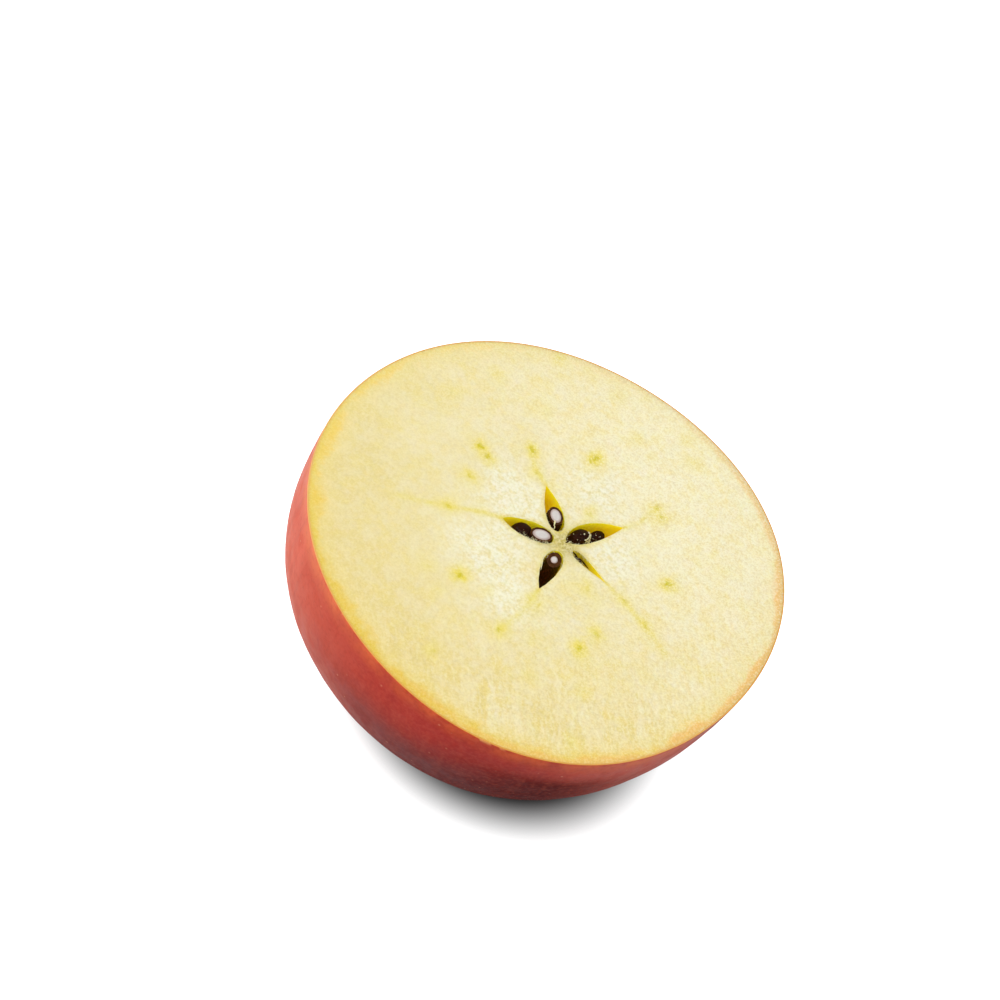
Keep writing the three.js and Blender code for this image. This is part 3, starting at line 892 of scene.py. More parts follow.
# %% The lining of the pockets
def lining_material():
    """Parchment-like and glossy: gold, paler at the lip, with darker clouds further down as painted
    shade. A faint painted glow stands for the light that comes through the flesh, and painted
    shade darkens the nearly closed slit.
    """
    material, net, shader = new_material(
        "pocket_lining",
        Subsurface_Weight=1.0,
        Subsurface_Radius=(0.85, 0.85, 0.06),
        Subsurface_Scale=9.0 * MM,
        IOR=1.38,
        Coat_Roughness=0.15,
        # Painted light: a faint golden glow stands for the light that comes through the flesh.
        Emission_Color=colour(248, 218, 10),
        Emission_Strength=0.09,
    )
    cloud, fine, below = net.mottle(1.6, 2.5), net.mottle(0.35, 2.5), net.kept("below_lip")
    tone = net.layers(
        (250, 222, 36),
        ((248, 208, 20), cloud, 0.6),
        # Painted shade: darker and more orange further down the pocket.
        ((230, 172, 20), (below, 3.0, 8.0, 0.0, 0.4)),
        ((240, 216, 44), (below, 2.6, 0.0, 0.0, 0.65)),
        ((255, 228, 80), fine, 0.2),
        # Painted shade in the nearly closed slit.
        ((96, 82, 18), net.kept("shaded"), (cloud, 0.0, 1.0, 0.6, 0.95)),
    )
    coat = net.slope(cloud, 0.0, 1.0, 0.1, 0.35)
    finish_material(net, shader, Base_Color=tone, Coat_Weight=coat, Normal=net.grain_bump(0.5, 0.03))
    return material


# %% The flesh as a piece
cut_flesh = make_piece("cut_flesh", flesh, [flesh_material(), lining_material()], **flesh_values)
dress(cut_flesh, "flesh_and_skin")

# %% [markdown]
# ## The skin
#
# The skin is a sheet a third of a millimetre thick. It could be a second material on the
# flesh, but then its cut edge, the thin bright line round the face, would be paint. As a
# closed shell of its own it has that edge, and the light that soaks into the flesh stays in
# the flesh. Its outer face has the slight hammered unevenness of a ripe fruit.

# %% The shell: cut edge, outside and inside
SKIN_COLUMNS, SKIN_RINGS = 540, 96
SKIN_START, SKIN_CROWDING = 0.003, 1.25  # where the first ring lies, with shorter steps near it
INNER_START, INNER_STEP = 1, 2  # the inner face has every second ring of the outer one
EDGE_ROUND = 0.05  # how far the cut edge is drawn in where it meets the outside
EDGE_SINK = 0.016  # how far the cut edge sinks towards the flesh
# Height of the dents in mm, how many go round, how many lie along a radian of fall, and seed
DENTS = [(0.05, 40, 9, 41), (0.018, 110, 24, 42), (0.008, 240, 55, 43)]
DENT_START, DENT_END = 0.04, 0.5  # radians of fall over which they fade at the cut and the calyx
HEART_DEPTH = 8.0  # dents go out from a point this deep under the middle of the cut
THICKNESS_SPREAD, THICKNESS_WAVES = 0.3, 150  # how much it varies, and how often round the cut

skin_turns = turns_round(SKIN_COLUMNS)
outer_falls = np.pi / 2 * np.linspace(SKIN_START, 1, SKIN_RINGS, endpoint=False) ** SKIN_CROWDING
skin_turn, skin_fall = np.meshgrid(skin_turns, outer_falls)
outside = skin_point(skin_turn, skin_fall)
dents = sum(
    height * uneven(skin_turn / (2 * np.pi) * wide, skin_fall * high, seed, around=wide)
    for height, wide, high, seed in DENTS
)
fade = np.clip(skin_fall / DENT_START, 0, 1) * np.clip((np.pi / 2 - skin_fall) / DENT_END, 0, 1)
away = unit(outside - [*RIM_CENTRE, -HEART_DEPTH])
outside = rest_on_floor(outside + away * (dents * fade)[..., None])

waves = skin_turns / (2 * np.pi) * THICKNESS_WAVES
waves = uneven(waves, np.zeros(SKIN_COLUMNS), 44, around=THICKNESS_WAVES)
thickness = SKIN * (1 + THICKNESS_SPREAD * waves)
edge_in = np.stack([np.full(SKIN_COLUMNS, EDGE_ROUND), thickness])
edge = skin_point(np.broadcast_to(skin_turns, edge_in.shape), np.zeros(edge_in.shape), edge_in)
edge[..., 2] = [[0.0], [-EDGE_SINK]]
inner_turn, inner_fall = np.meshgrid(skin_turns, outer_falls[INNER_START::INNER_STEP])
inside = rest_on_floor(skin_point(inner_turn, inner_fall, SKIN), SKIN)
print("the skin is", thickness.min().round(2), "to", thickness.max().round(2), "mm thick at the cut")

# %% Joining them into one closed shell
skin = Surface()
outside_numbers, edge_numbers, inside_numbers = (skin.add(part) for part in (outside, edge, inside))
skin.patch(outside_numbers)
calyx_number = skin.cap(outside_numbers[-1], calyx_point())
skin.patch(np.concatenate([inside_numbers[::-1], edge_numbers[::-1], outside_numbers[:1]]))
skin.cap(inside_numbers[-1], calyx_point(SKIN), at_end=False)
print("the skin has", skin.count, "points")

# %% What the skin's colours follow
# Lighter sides, partly a paler skin and partly painted light, and darker ones, partly a deeper red and
# partly painted shade: turn in degrees, reach, strength
BLUSHES_AND_LIGHT = [(196, 38, 1.0), (322, 22, 0.5)]
DEEP_RED_AND_SHADE = [(299, 17, 1.0), (80, 40, 0.6)]
REACH_GROWTH = 0.8
# Chips of the cut edge: turn and half width in degrees, depth in mm
NICKS = [(-80.5, 2.2, 0.36), (-77, 1.8, 0.28), (-62, 0.9, 0.2)]
NICK_RAGGED, NICK_TATTER = 0.6, 60  # how far a chip's lower edge goes in and out, and how often
NICK_CRISP = 2.5  # it fades over the last 1 / 2.5 of its depth
NICK_LEAST = 0.01

skin_points = np.concatenate(skin.points)
skin_around, from_calyx = round_middle(*skin_points[:, :2].T)
below_cut = -skin_points[:, 2]
is_edge, fall_at = np.zeros(skin.count), np.zeros(skin.count)
is_edge[edge_numbers] = 1
is_edge[inside_numbers] = 1
fall_at[outside_numbers] = skin_fall
fall_at[calyx_number] = np.pi / 2


def degrees_from(turn):
    """The angle in degrees between the turn of each point of the skin and a given turn."""
    return np.degrees(np.angle(np.exp(1j * (skin_around - math.radians(turn)))))


def toward(spots):
    """The sum of strength · bell(angle from the spot, reach). The reach grows with the fall, so
    that no wedge comes to a point at the calyx."""
    growth = 1 + REACH_GROWTH * fall_at
    return sum(strength * bell(degrees_from(turn), reach * growth) for turn, reach, strength in spots)


nicked = np.zeros(skin.count)
for turn, width, depth in NICKS:
    within = 1 - (degrees_from(turn) / width) ** 2
    tatter = uneven(skin_around * NICK_TATTER, np.zeros(skin.count), 45)
    deepest = (depth * (1 + NICK_RAGGED * tatter) * within).clip(NICK_LEAST)
    chip = np.clip(NICK_CRISP * (1 - below_cut / deepest), 0, 1)
    nicked = np.maximum(nicked, (within > 0) * chip)
skin_values = {
    "cut_edge": is_edge,
    "nick": nicked,
    "below_cut": below_cut,
    "from_calyx": from_calyx,
    "blush_and_light": toward(BLUSHES_AND_LIGHT),
    "deep_red_and_shade": toward(DEEP_RED_AND_SHADE),
    "meridian": np.stack([np.cos(skin_around), np.sin(skin_around), fall_at], -1),
}
print("values kept at each point of the skin:", ", ".join(skin_values))

# %% [markdown]
# ### The look of the skin
#
# Red skin is layers too: a yellow-green ground, and over it red cells that line up in
# streaks from stalk to calyx. Pale pores, each a third of a millimetre wide, lie all over
# it. Near the cut a painted orange glow stands for the light that comes through the flesh,
# and in the hollow round the calyx the ground shows and turns to brown russet. A lighter
# side carries painted light and the lower side painted shade. The mesh keeps each point's
# place on its meridian, so the streaks can follow the fruit.

# %% Skin
PORE_SPACING = 2.1


def skin_material():
    """Skin: crimson with streaks and patches, pores, the cut edge and the calyx hollow."""
    material, net, shader = new_material(
        "red_skin",
        Subsurface_Weight=0.1,
        Subsurface_Radius=(1.0, 0.25, 0.1),
        Subsurface_Scale=1.0 * MM,
        IOR=1.45,
        Specular_IOR_Level=0.1,
        Coat_Roughness=0.2,
        Coat_IOR=1.3,
    )
    meridian = net.kept("meridian", "Vector")
    streaks = net.stretched(meridian, (26, 26, 1.6))
    ticks = net.stretched(meridian, (22, 22, 60), 4.5)
    patch, cloud, fine = (net.mottle(size, 2.6) for size in (16.0, 3.0, 0.6))
    pores, pore_tint = (
        net.node("TexVoronoi", {"Vector": net.millimetres(), "Scale": 1 / PORE_SPACING}, output)
        for output in ("Distance", "Color")
    )
    below, blush_and_light, deep_red_and_shade = net.kept("below_cut"), net.kept("blush_and_light"), net.kept("deep_red_and_shade")
    ragged_edge = net.plus(net.times(cloud, -3.0), net.times(streaks, -1.6))
    calyx = net.plus(net.kept("from_calyx"), ragged_edge)
    # Painted light: an orange glow near the cut stands for the light that comes through the flesh.
    orange = net.layers((216, 90, 44), ((244, 142, 98), blush_and_light))
    cut_edge = net.layers((230, 166, 78), ((244, 190, 112), blush_and_light))
    tone = net.layers(
        (174, 44, 36),
        # The lighter side, partly blush and partly painted light, patches, and a darker red towards the
        # bottom, partly painted shade under the fruit
        ((242, 114, 84), blush_and_light, (patch, 0.0, 0.7, 0.7, 0.95)),
        ((132, 28, 28), (patch, 0.4, 1.0, 0.0, 0.14)),
        ((192, 64, 48), (cloud, 0.4, 1.0, 0.0, 0.16)),
        # Painted shade: a darker red towards the bottom, under the fruit, except on the lighter side.
        ((90, 12, 20), (below, 5.0, 16.0, 0.0, 0.85), (blush_and_light, 0.65, 0.0, 0.05, 1.0)),
        # Darker still on the deep sides: painted shade low at the front, and a deeper red.
        ((68, 5, 11), (below, 3.0, 8.5, 0.0, 0.85), deep_red_and_shade),
        # Streaks from stalk to calyx and short ticks across them
        ((206, 90, 62), (streaks, 0.5, 1.0, 0.0, 0.07)),
        ((108, 20, 24), (streaks, 0.5, 0.0, 0.0, 0.08)),
        ((226, 122, 98), (ticks, 0.85, 1.0, 0.0, 0.05)),
        # Painted orange glow near the cut, for the light through the flesh; russet round the calyx
        (orange, (below, 4.0, 0.0, 0.0, 0.8), net.plus(cloud, 0.3)),
        ((170, 146, 66), (calyx, 8.0, 1.0, 0.0, 0.85)),
        ((124, 86, 46), (calyx, 4.0, -1.0), fine),
        # Pores, specks, chips and the cut edge
        ((222, 150, 118), (pores, 0.12, 0.06), (pore_tint, 0.2, 0.9, 0.05, 0.6)),
        ((220, 106, 80), (fine, 0.3, 1.0, 0.0, 0.1)),
        ((112, 22, 24), (fine, 0.5, 0.0, 0.0, 0.12)),
        ((250, 176, 104), net.kept("nick"), (cloud, 0.0, 1.0, 0.7, 1.0)),
        (cut_edge, net.kept("cut_edge")),
    )
    dull = net.times((below, 3.0, 8.0), deep_red_and_shade)
    rough = net.plus(net.slope(cloud, 0.0, 1.0, 0.3, 0.44), net.times(dull, 0.3))
    coat = net.times((fine, 0.0, 1.0, 0.03, 0.12), (dull, 0.0, 1.0, 1.0, 0.1))
    peel = net.bump(net.mottle(1.1, 1.5), 0.01)
    finish_material(net, shader, Base_Color=tone, Roughness=rough, Coat_Weight=coat, Normal=peel)
    return material


# %% The skin as a piece
red_skin = make_piece("red_skin", skin, [skin_material()], **skin_values)
dress(red_skin, "flesh_and_skin")

# %% [markdown]
# ## The pips
#
# A pip is a drop: pointed at one end, blunt at the other, a little flattened. Its sections
# are ellipses whose size follows one hump along its length, so seven pips are one function
# with seven sets of sizes. An open pip is a cup: the outside, a cut rim and the hollow, with
# the white kernel as a solid of its own in it.

# %% The sections of a pip
PIP_COLUMNS, PIP_RINGS = 56, 34
FIRST_RING = 0.0005  # the first ring lies this share of the length from the point
RIDGES, RIDGE_TWIST = 9, 3
BULGES_ROUND, BULGES_DOWN = 3, 5
PIP_SEED = 90  # with a pip's turn added, each pip has bulges of its own


def pip_sections(pip, start, end, inset, ridged=0.0):
    """Rings of points down a pip. A ring at a share s of the length lies at the height over
    the cut minus length · s. With h the hump at s, its half-axes are (breadth/2 - inset) · h
    and (thickness/2 - inset) · h^rounding, turned about the upright, with ridges along it."""
    (peak, power), place, drift, above, turn, length, breadth, thick, _ = pip
    first = max(start + FIRST_RING, above / length)
    share = np.sin(np.pi / 2 * np.arange(PIP_RINGS) / PIP_RINGS)[:, None]
    along = first + (end - first) * share
    size = hump((along - start) / (end - start), peak, power)
    around = turns_round(PIP_COLUMNS)
    bulges = uneven(around * BULGES_ROUND, along * BULGES_DOWN, turn + PIP_SEED)
    ridge = 1 + ridged * (0.5 * np.cos(RIDGES * around + RIDGE_TWIST * along) + bulges)
    broad = (breadth / 2 - inset) * size * np.cos(around) * ridge
    across = (thick / 2 - inset) * size**PIP_ROUNDING * np.sin(around) * ridge
    angle = math.radians(turn)
    x = place[0] + drift[0] * along + broad * math.cos(angle) - across * math.sin(angle)
    y = place[1] + drift[1] * along + broad * math.sin(angle) + across * math.cos(angle)
    return np.stack([x, y, np.broadcast_to(above - length * along, x.shape)], -1)


def pip_end(pip, share):
    """The point on a pip's own axis at a share of its length."""
    _, place, drift, above, _, length, *_ = pip
    return np.array([place[0] + drift[0] * share, place[1] + drift[1] * share, above - length * share])


# %% A whole pip, an open pip and its kernel
CUT_RIM = 1  # the finish of a coat's cut rim
RIM_GROOVE = 0.03  # how deep the cut rim is hollowed
RIDGED = 0.02
KERNEL_DOME = 0.09
KERNEL_RINGS = 6


def whole_pip(pip):
    """Sections from point to point, closed at both ends."""
    surface = Surface()
    rings = surface.add(pip_sections(pip, 0, 1, 0, RIDGED))
    surface.patch(rings)
    surface.cap(rings[0], pip_end(pip, 0), at_end=False)
    surface.cap(rings[-1], pip_end(pip, 1))
    return surface


def open_pip(pip):
    """A cup: the outside, the cut rim and the hollow that holds the kernel."""
    surface = Surface()
    *_, length, _, _, kernel_start = pip
    deeper = KERNEL_END + KERNEL_GAP / length
    outer = pip_sections(pip, 0, 1, 0, RIDGED)
    hollow = pip_sections(pip, kernel_start, deeper, COAT - KERNEL_GAP)
    groove = (outer[:1] + hollow[:1]) / 2 - [0, 0, RIM_GROOVE]
    outer, hollow, groove = (surface.add(rings) for rings in (outer, hollow, groove))
    surface.patch(outer)
    surface.cap(outer[-1], pip_end(pip, 1))
    surface.patch(np.concatenate([hollow[:1], groove, outer[:1]]), CUT_RIM)
    surface.patch(hollow[:, ::-1])
    surface.cap(hollow[-1, ::-1], pip_end(pip, deeper))
    return surface


def kernel_of(pip):
    """The kernel: sections from the cut down, under a top that swells by 1 - r² over the cut.
    It comes with each point's distance from the middle of the top, as a share."""
    surface = Surface()
    rings = pip_sections(pip, pip[-1], KERNEL_END, COAT)
    numbers = surface.add(rings)
    share = np.linspace(0, 1, KERNEL_RINGS + 2)[1:-1, None, None]
    centre = rings[0].mean(0)
    top = centre + (rings[0] - centre) * share
    top[..., 2] += KERNEL_DOME * (1 - share[..., 0] ** 2)
    top_numbers = surface.add(top)
    surface.patch(np.concatenate([top_numbers, numbers]))
    summit = surface.cap(top_numbers[0], centre + [0, 0, KERNEL_DOME], at_end=False)
    surface.cap(numbers[-1], pip_end(pip, KERNEL_END))
    to_edge = np.ones(surface.count)
    to_edge[top_numbers] = share[..., 0]
    to_edge[summit] = 0
    return surface, to_edge


print("a pip has", PIP_RINGS, "rings of", PIP_COLUMNS, "points")

# %% [markdown]
# ### The look of the pips
#
# The coat is a hard dark brown with a thin varnish, streaked and finely ridged along its
# length. Cut through, it shows a dull brown rim. The kernel is white with a hint of lilac,
# smooth and a little waxy, and browner at its edge.

# %% Coat, cut rim and kernel
def coat_material():
    """Dark brown with lighter streaks along the pip and a varnish over it."""
    values = {"IOR": 1.4, "Specular_IOR_Level": 0.08, "Coat_Roughness": 0.12}
    material, net, shader = new_material("pip_coat", **values)
    streaks = net.stretched(net.millimetres(), (7, 7, 0.8))
    cloud = net.mottle(1.3, 2.5)
    tone = net.layers(
        (40, 15, 3),
        ((21, 7, 2), cloud, 0.6),
        ((84, 38, 10), (streaks, 0.5, 1.0, 0.0, 0.5)),
    )
    coat = net.slope(cloud, 0.3, 1.0, 0.0, 0.1)
    grain = net.group("wet_grain", "Height", Size=0.3)
    ridges = net.bump(net.plus(net.times(streaks, 0.8), net.times(grain, 0.2)), 0.04)
    rough = net.slope(streaks, 0.0, 1.0, 0.34, 0.55)
    finish_material(net, shader, Base_Color=tone, Coat_Weight=coat, Roughness=rough, Normal=ridges)
    return material


coat_finish = coat_material()
rim_finish = cloudy_material(
    "pip_cut_rim",
    cloud=(0.7, 3.0),
    fine=(0.18, 3.0),
    ground=(68, 38, 16),
    coats=[((98, 60, 26),), ((38, 18, 8), 0.5)],
    rough=(0.35, 0.6),
    grain=(0.2, 0.03),
    IOR=1.4,
    Specular_IOR_Level=0.08,
)
kernel_finish = cloudy_material(
    "pip_kernel",
    cloud=(0.8, 2.4),
    fine=(0.2, 2.4),
    ground=(214, 208, 203),
    coats=[
        ((224, 220, 214), 0.6),
        ((194, 184, 180), 0.3),
        ((172, 138, 124), "to_edge", 0.55, 1.0, 0.0, 0.75),
    ],
    rough=(0.3, 0.5),
    grain=(0.25, 0.02),
    Subsurface_Weight=0.25,
    Subsurface_Radius=(1.0, 0.8, 0.7),
    Subsurface_Scale=0.5 * MM,
    IOR=1.45,
)

# %% Seven pips and three kernels
for name, pip in PIPS.items():
    opened = name in KERNELS
    surface = open_pip(pip) if opened else whole_pip(pip)
    dress(make_piece(name + "_coat", surface, [coat_finish, rim_finish]), name)
    if opened:
        surface, to_edge = kernel_of(pip)
        piece = make_piece(KERNELS[name] + "_white", surface, [kernel_finish], to_edge=to_edge)
        dress(piece, KERNELS[name])

# %% [markdown]
# ## Fibres and crumbs
#
# A knife doesn't leave a clean star. It tears the parchment lining of the pockets into short
# hairs, drags a few veins across the hollow, and leaves crumbs of flesh on the pips. They are
# tiny, yet they are what makes the middle look moist. One function makes any number of
# tapered threads at once, and another any number of small uneven lumps.

# %% Threads and lumps
THREAD_SIDES = 6
ANY_WAY = (0.31, 0.52, 0.79)  # a direction that no thread follows
LUMP_ROWS, LUMP_COLUMNS = 6, 9
LUMP_BUMPS, LUMP_FLATNESS = (0.75, 1.25), (0.55, 1.2)  # least and most, as a share of the size


def threads(surface, paths, radius, finish=0):
    """Closed tapered tubes round many paths at once. With d the direction of the path and s a
    side across it, a ring's points are cos(a) · s + sin(a) · (s × d) times the radius there."""
    ahead = unit(np.gradient(paths, axis=1))
    side = unit(np.cross(ahead, ANY_WAY))
    angle = turns_round(THREAD_SIDES)[:, None]
    ring = np.cos(angle) * side[..., None, :] + np.sin(angle) * np.cross(side, ahead)[..., None, :]
    numbers = surface.add(paths[..., None, :] + ring * radius[..., None, None])
    surface.patch(numbers, finish)
    surface.cap(numbers[:, 0], paths[:, 0], finish, at_end=False)
    surface.cap(numbers[:, -1], paths[:, -1], finish)


def lumps(surface, centres, sizes, seed):
    """Many small uneven balls at once, on a grid of latitude and longitude, each flattened and
    turned in its own way: a point is centre + size · (1 + unevenness) · direction."""
    draw = np.random.default_rng(seed)
    count = len(centres)
    lat = np.pi * np.arange(1, LUMP_ROWS + 1)[:, None] / (LUMP_ROWS + 1)
    lon = turns_round(LUMP_COLUMNS)
    ball = np.broadcast_arrays(np.sin(lat) * np.cos(lon), np.sin(lat) * np.sin(lon), np.cos(lat))
    bumps = draw.uniform(*LUMP_BUMPS, (count, LUMP_ROWS, LUMP_COLUMNS, 1))
    flat = draw.uniform(*LUMP_FLATNESS, (count, 1, 1, 3)) * sizes[:, None, None, None]
    numbers = surface.add(centres[:, None, None] + np.stack(ball, -1) * bumps * flat)
    surface.patch(numbers)
    pole = [0, 0, 1] * flat[:, 0, 0]
    surface.cap(numbers[:, 0], centres + pole, at_end=False)
    surface.cap(numbers[:, -1], centres - pole)


# %% Torn hairs on the pockets' lips
# Pocket, from and to along its outline, which side, how many, longest
HAIRS = [
    ("west", 0.03, 0.6, 1, 130, 0.9),
    ("west", 0.0, 0.25, -1, 40, 0.5),
    ("slit", 0.0, 0.4, 1, 70, 0.8),
    ("slit", 0.0, 0.35, -1, 60, 0.7),
    ("south", 0.0, 0.5, -1, 60, 0.45),
    ("south", 0.0, 0.3, 1, 40, 0.5),
    ("east", 0.0, 0.4, -1, 70, 0.6),
    ("east", 0.0, 0.15, 1, 30, 0.45),
    ("north", 0.0, 0.35, 1, 40, 0.45),
    ("north", 0.0, 0.3, -1, 50, 0.5),
]
HAIR_STEPS = 5
HAIR_LEAN, HAIR_SPREAD = (-0.5, 0.75), 0.45  # least and most lean inwards, and how much it differs
HAIR_BEND = 0.06  # how far a hair bows, in mm
HAIR_SHORTEST, HAIR_CROWDING = 0.25, 1.5  # share of the longest, and above 1 more are short
HAIR_RISE, HAIR_CURL = 0.45, 2.2  # highest share of its length, and radians of the arc it rises on
HAIR_ROOT, HAIR_INSET = 0.06, 0.08  # how deep a hair starts, and how far behind the lip, in mm
HAIR_RADIUS, HAIR_TAPER = (0.018, 0.04), 0.75  # least and most in mm, and the share lost at the tip
# Tufts between the pockets: middle, spread, how many, longest
TUFTS = [
    ((0.6, -0.3), (0.5, 0.45), 90, 0.55),
    ((1.5, -0.9), (0.35, 0.4), 90, 0.6),
    ((-0.4, 1.2), (0.5, 0.4), 60, 0.45),
    ((-1.5, -1.9), (0.7, 0.3), 60, 0.5),
    ((-3.6, -2.6), (1.1, 0.25), 60, 0.4),
    ((0.9, 0.9), (0.25, 0.25), 40, 0.4),
]
TUFT_LEAN = 0.6


def torn_hairs(root, lean, longest):
    """Hairs that start at their roots, lean over and rise, each with its own curl. They go
    into fibres, and their random values come from draw."""
    count = len(root)
    lean = lean + draw.normal(0, HAIR_SPREAD, (count, 2))
    length = longest * draw.uniform(HAIR_SHORTEST, 1, count)[:, None] ** HAIR_CROWDING
    step = np.linspace(0, 1, HAIR_STEPS)
    plan = root[:, None] + (lean * length)[:, None] * step[:, None]
    plan += draw.normal(0, HAIR_BEND, (count, 1, 2)) * np.sin(np.pi * step[:, None])
    rise = draw.uniform(0, HAIR_RISE, (count, 1)) * length * np.sin(HAIR_CURL * step)
    height = face_relief(*root.T)[:, None] - HAIR_ROOT + rise
    radius = draw.uniform(*HAIR_RADIUS, (count, 1)) * (1 - HAIR_TAPER * step)
    threads(fibres, np.concatenate([plan, height[..., None]], -1), radius)


fibres = Surface()
draw = np.random.default_rng(77)
for name, start, end, side, count, longest in HAIRS:
    root = pocket_edge(POCKETS[name], draw.uniform(start, end, count), side)
    inwards = unit(pocket_heart(POCKETS[name]) - root)
    lean = inwards * draw.uniform(*HAIR_LEAN, (count, 1))
    torn_hairs(root - inwards * HAIR_INSET, lean, longest)
for middle, spread_by, count, longest in TUFTS:
    root = middle + draw.normal(0, 1, (count, 2)) * spread_by
    torn_hairs(root, draw.normal(0, TUFT_LEAN, (count, 2)), longest)
print("hairs:", sum(row[4] for row in HAIRS) + sum(row[2] for row in TUFTS))

# %% Strands across the core, and the dark tail of a pip
# Points of the path, thickest radius, finish
STRANDS = [
    ([(-2.75, 3.05, 0.14), (-2.55, 2.75, 0.2), (-2.45, 2.4, 0.16), (-2.4, 2.05, 0.04)], 0.13, 0),
    ([(-2.4, 2.2, 0.1), (-2.2, 1.9, 0.14), (-2.05, 1.55, 0.02)], 0.07, 0),
    ([(1.35, 1.75, -0.3), (1.0, 1.25, 0.02), (0.75, 0.75, 0.08), (0.45, 0.4, 0.03)], 0.16, 1),
    ([(1.25, 1.1, 0.02), (1.0, 0.85, 0.1), (0.85, 0.5, 0.05)], 0.1, 0),
    ([(-1.45, -4.5, 0.05), (-1.25, -5.1, 0.05), (-1.0, -5.9, 0.0), (-0.75, -6.9, 0.0)], 0.09, 0),
    ([(-1.5, -4.0, -0.1), (-1.35, -4.6, 0.05), (-1.2, -5.2, 0.02)], 0.07, 0),
    ([(1.15, 0.25, 0.0), (1.7, -0.1, 0.1), (2.1, -0.55, 0.08), (2.3, -0.9, 0.0)], 0.06, 0),
    ([(1.3, -0.2, 0.0), (1.6, -0.5, 0.12), (1.9, -0.8, 0.1), (2.2, -1.2, 0.0)], 0.07, 0),
    ([(2.0, -0.35, -0.25), (2.6, -0.5, -0.1), (3.1, -0.75, -0.15), (3.8, -0.95, -0.3)], 0.12, 1),
    ([(3.5, -0.72, -0.16), (4.2, -0.95, -0.2), (4.9, -1.2, -0.28), (5.6, -1.4, -0.4)], 0.1, 1),
]
STRAND_STEPS = 16
STRAND_ENDS = (0.12, 0.92)  # where a strand starts and stops on the half wave of its thickness
STRAND_UNEVEN, STRAND_KNOTS = 0.25, 6  # how uneven it is, and how many knots lie along it

for points, radius, finish in STRANDS:
    # The smooth curve that passes through all the points
    knots = np.linspace(0, 1, len(points))
    fit = np.polynomial.polynomial.polyfit(knots, np.array(points), len(points) - 1)
    step = np.linspace(0, 1, STRAND_STEPS)
    path = np.polynomial.polynomial.polyval(step, fit).T
    swell = np.sin(np.pi * np.linspace(*STRAND_ENDS, STRAND_STEPS))
    swell *= radius * (1 + STRAND_UNEVEN * uneven(step * STRAND_KNOTS, step, 61))
    threads(fibres, path[None], swell[None], finish)
print(len(STRANDS), "strands")

# %% Crumbs on the pips and in the pockets
# Pip, middle, spread, how many, biggest
CRUMB_SPOTS = [
    ("pip_east_inner", (3.3, 4.1), (0.24, 0.5), 160, 0.15),
    ("pip_east_inner", (1.9, 3.5), (0.35, 0.6), 7, 0.1),
    ("pip_east_outer", (4.2, 5.2), (0.3, 0.3), 16, 0.09),
    ("pip_south", (-1.0, -4.3), (0.2, 0.5), 8, 0.11),
    ("pip_west_outer", (-5.4, -1.4), (0.7, 0.3), 4, 0.08),
    ("pip_north", (-4.2, 4.6), (0.25, 0.25), 4, 0.1),
]
PIP_TOP = 0.02  # crumbs lie lower than this
NEARNESS = 12  # how much a point's distance counts against its height
CRUMB_SMALLEST = 0.45  # share of the biggest
CRUMB_SEED = 200


def on_pip(pip, plan):
    """Plan points lifted to the top of a pip: the highest of its points near each of them."""
    points = pip_sections(pip, 0, 1, 0).reshape(-1, 3)
    points = points[points[:, 2] < PIP_TOP]
    gaps = np.linalg.norm(plan[:, None] - points[:, :2], axis=-1)
    return points[np.argmax(points[:, 2] - NEARNESS * gaps, axis=1)]


for k, (name, middle, spread_by, count, biggest) in enumerate(CRUMB_SPOTS):
    plan = middle + draw.normal(0, 1, (count, 2)) * spread_by
    sizes = biggest * draw.uniform(CRUMB_SMALLEST, 1, count) ** 2
    lumps(fibres, on_pip(PIPS[name], plan), sizes, CRUMB_SEED + k)
print("crumbs:", sum(row[3] for row in CRUMB_SPOTS))

# %% Their look: a little translucent
straw = cloudy_material(
    "torn_fibres",
    cloud=(0.9, 3.0),
    fine=(0.15, 3.0),
    ground=(238, 229, 170),
    coats=[((214, 197, 98), 0.6), ((251, 248, 226), 0.4)],
    rough=(0.25, 0.5),
    grain=(0.12, 0.02),
    Subsurface_Weight=0.3,
    Subsurface_Radius=(1.0, 0.8, 0.4),
    Subsurface_Scale=0.4 * MM,
    IOR=1.4,
)
core_fibres = make_piece("core_fibres", fibres, [straw, coat_finish])
dress(core_fibres, "flesh_and_skin")

# %% [markdown]
# ## The dried calyx
#
# Underneath, in the hollow, sit the five dry sepals of the blossom with a brush of dead
# stamens between them. A sepal could be a flat card, but at this size its curl and its
# central rib catch the light. Each is a closed leaf: a flat oval section carried along a
# line that bends outwards.

# %% Sepals
SEPALS, SEPAL_RINGS, SEPAL_COLUMNS = 5, 26, 28
SEPAL_LENGTH, SEPAL_WIDTH, SEPAL_THICKNESS = 5.4, 3.4, 0.42
SEPAL_TIP, SEPAL_TAPER = 0.25, 0.7
SEPAL_ROOT, SEPAL_SPREAD, SEPAL_SINK = 1.9, 2.6, 0.9
SEPAL_CUP = 0.16 / 1.7**2
RIB_RISE, RIB_WIDTH = 0.1, 0.18
# Unevenness of the edges, the faces and the tips: height, how many along and across, how far
# apart the leaves lie in it, shift across, seed
SEPAL_WAVES = (0.12, 6, 1, 9, 0, 71)
SEPAL_CRUMPLES = (0.12, 7, 1.6, 5, 8, 72)
SEPAL_CURL = (0.25, 3, 1, 7, 0, 73)
CALYX_ROOT = BASIN_DEPTH - DOME_DEPTH + SEPAL_SINK


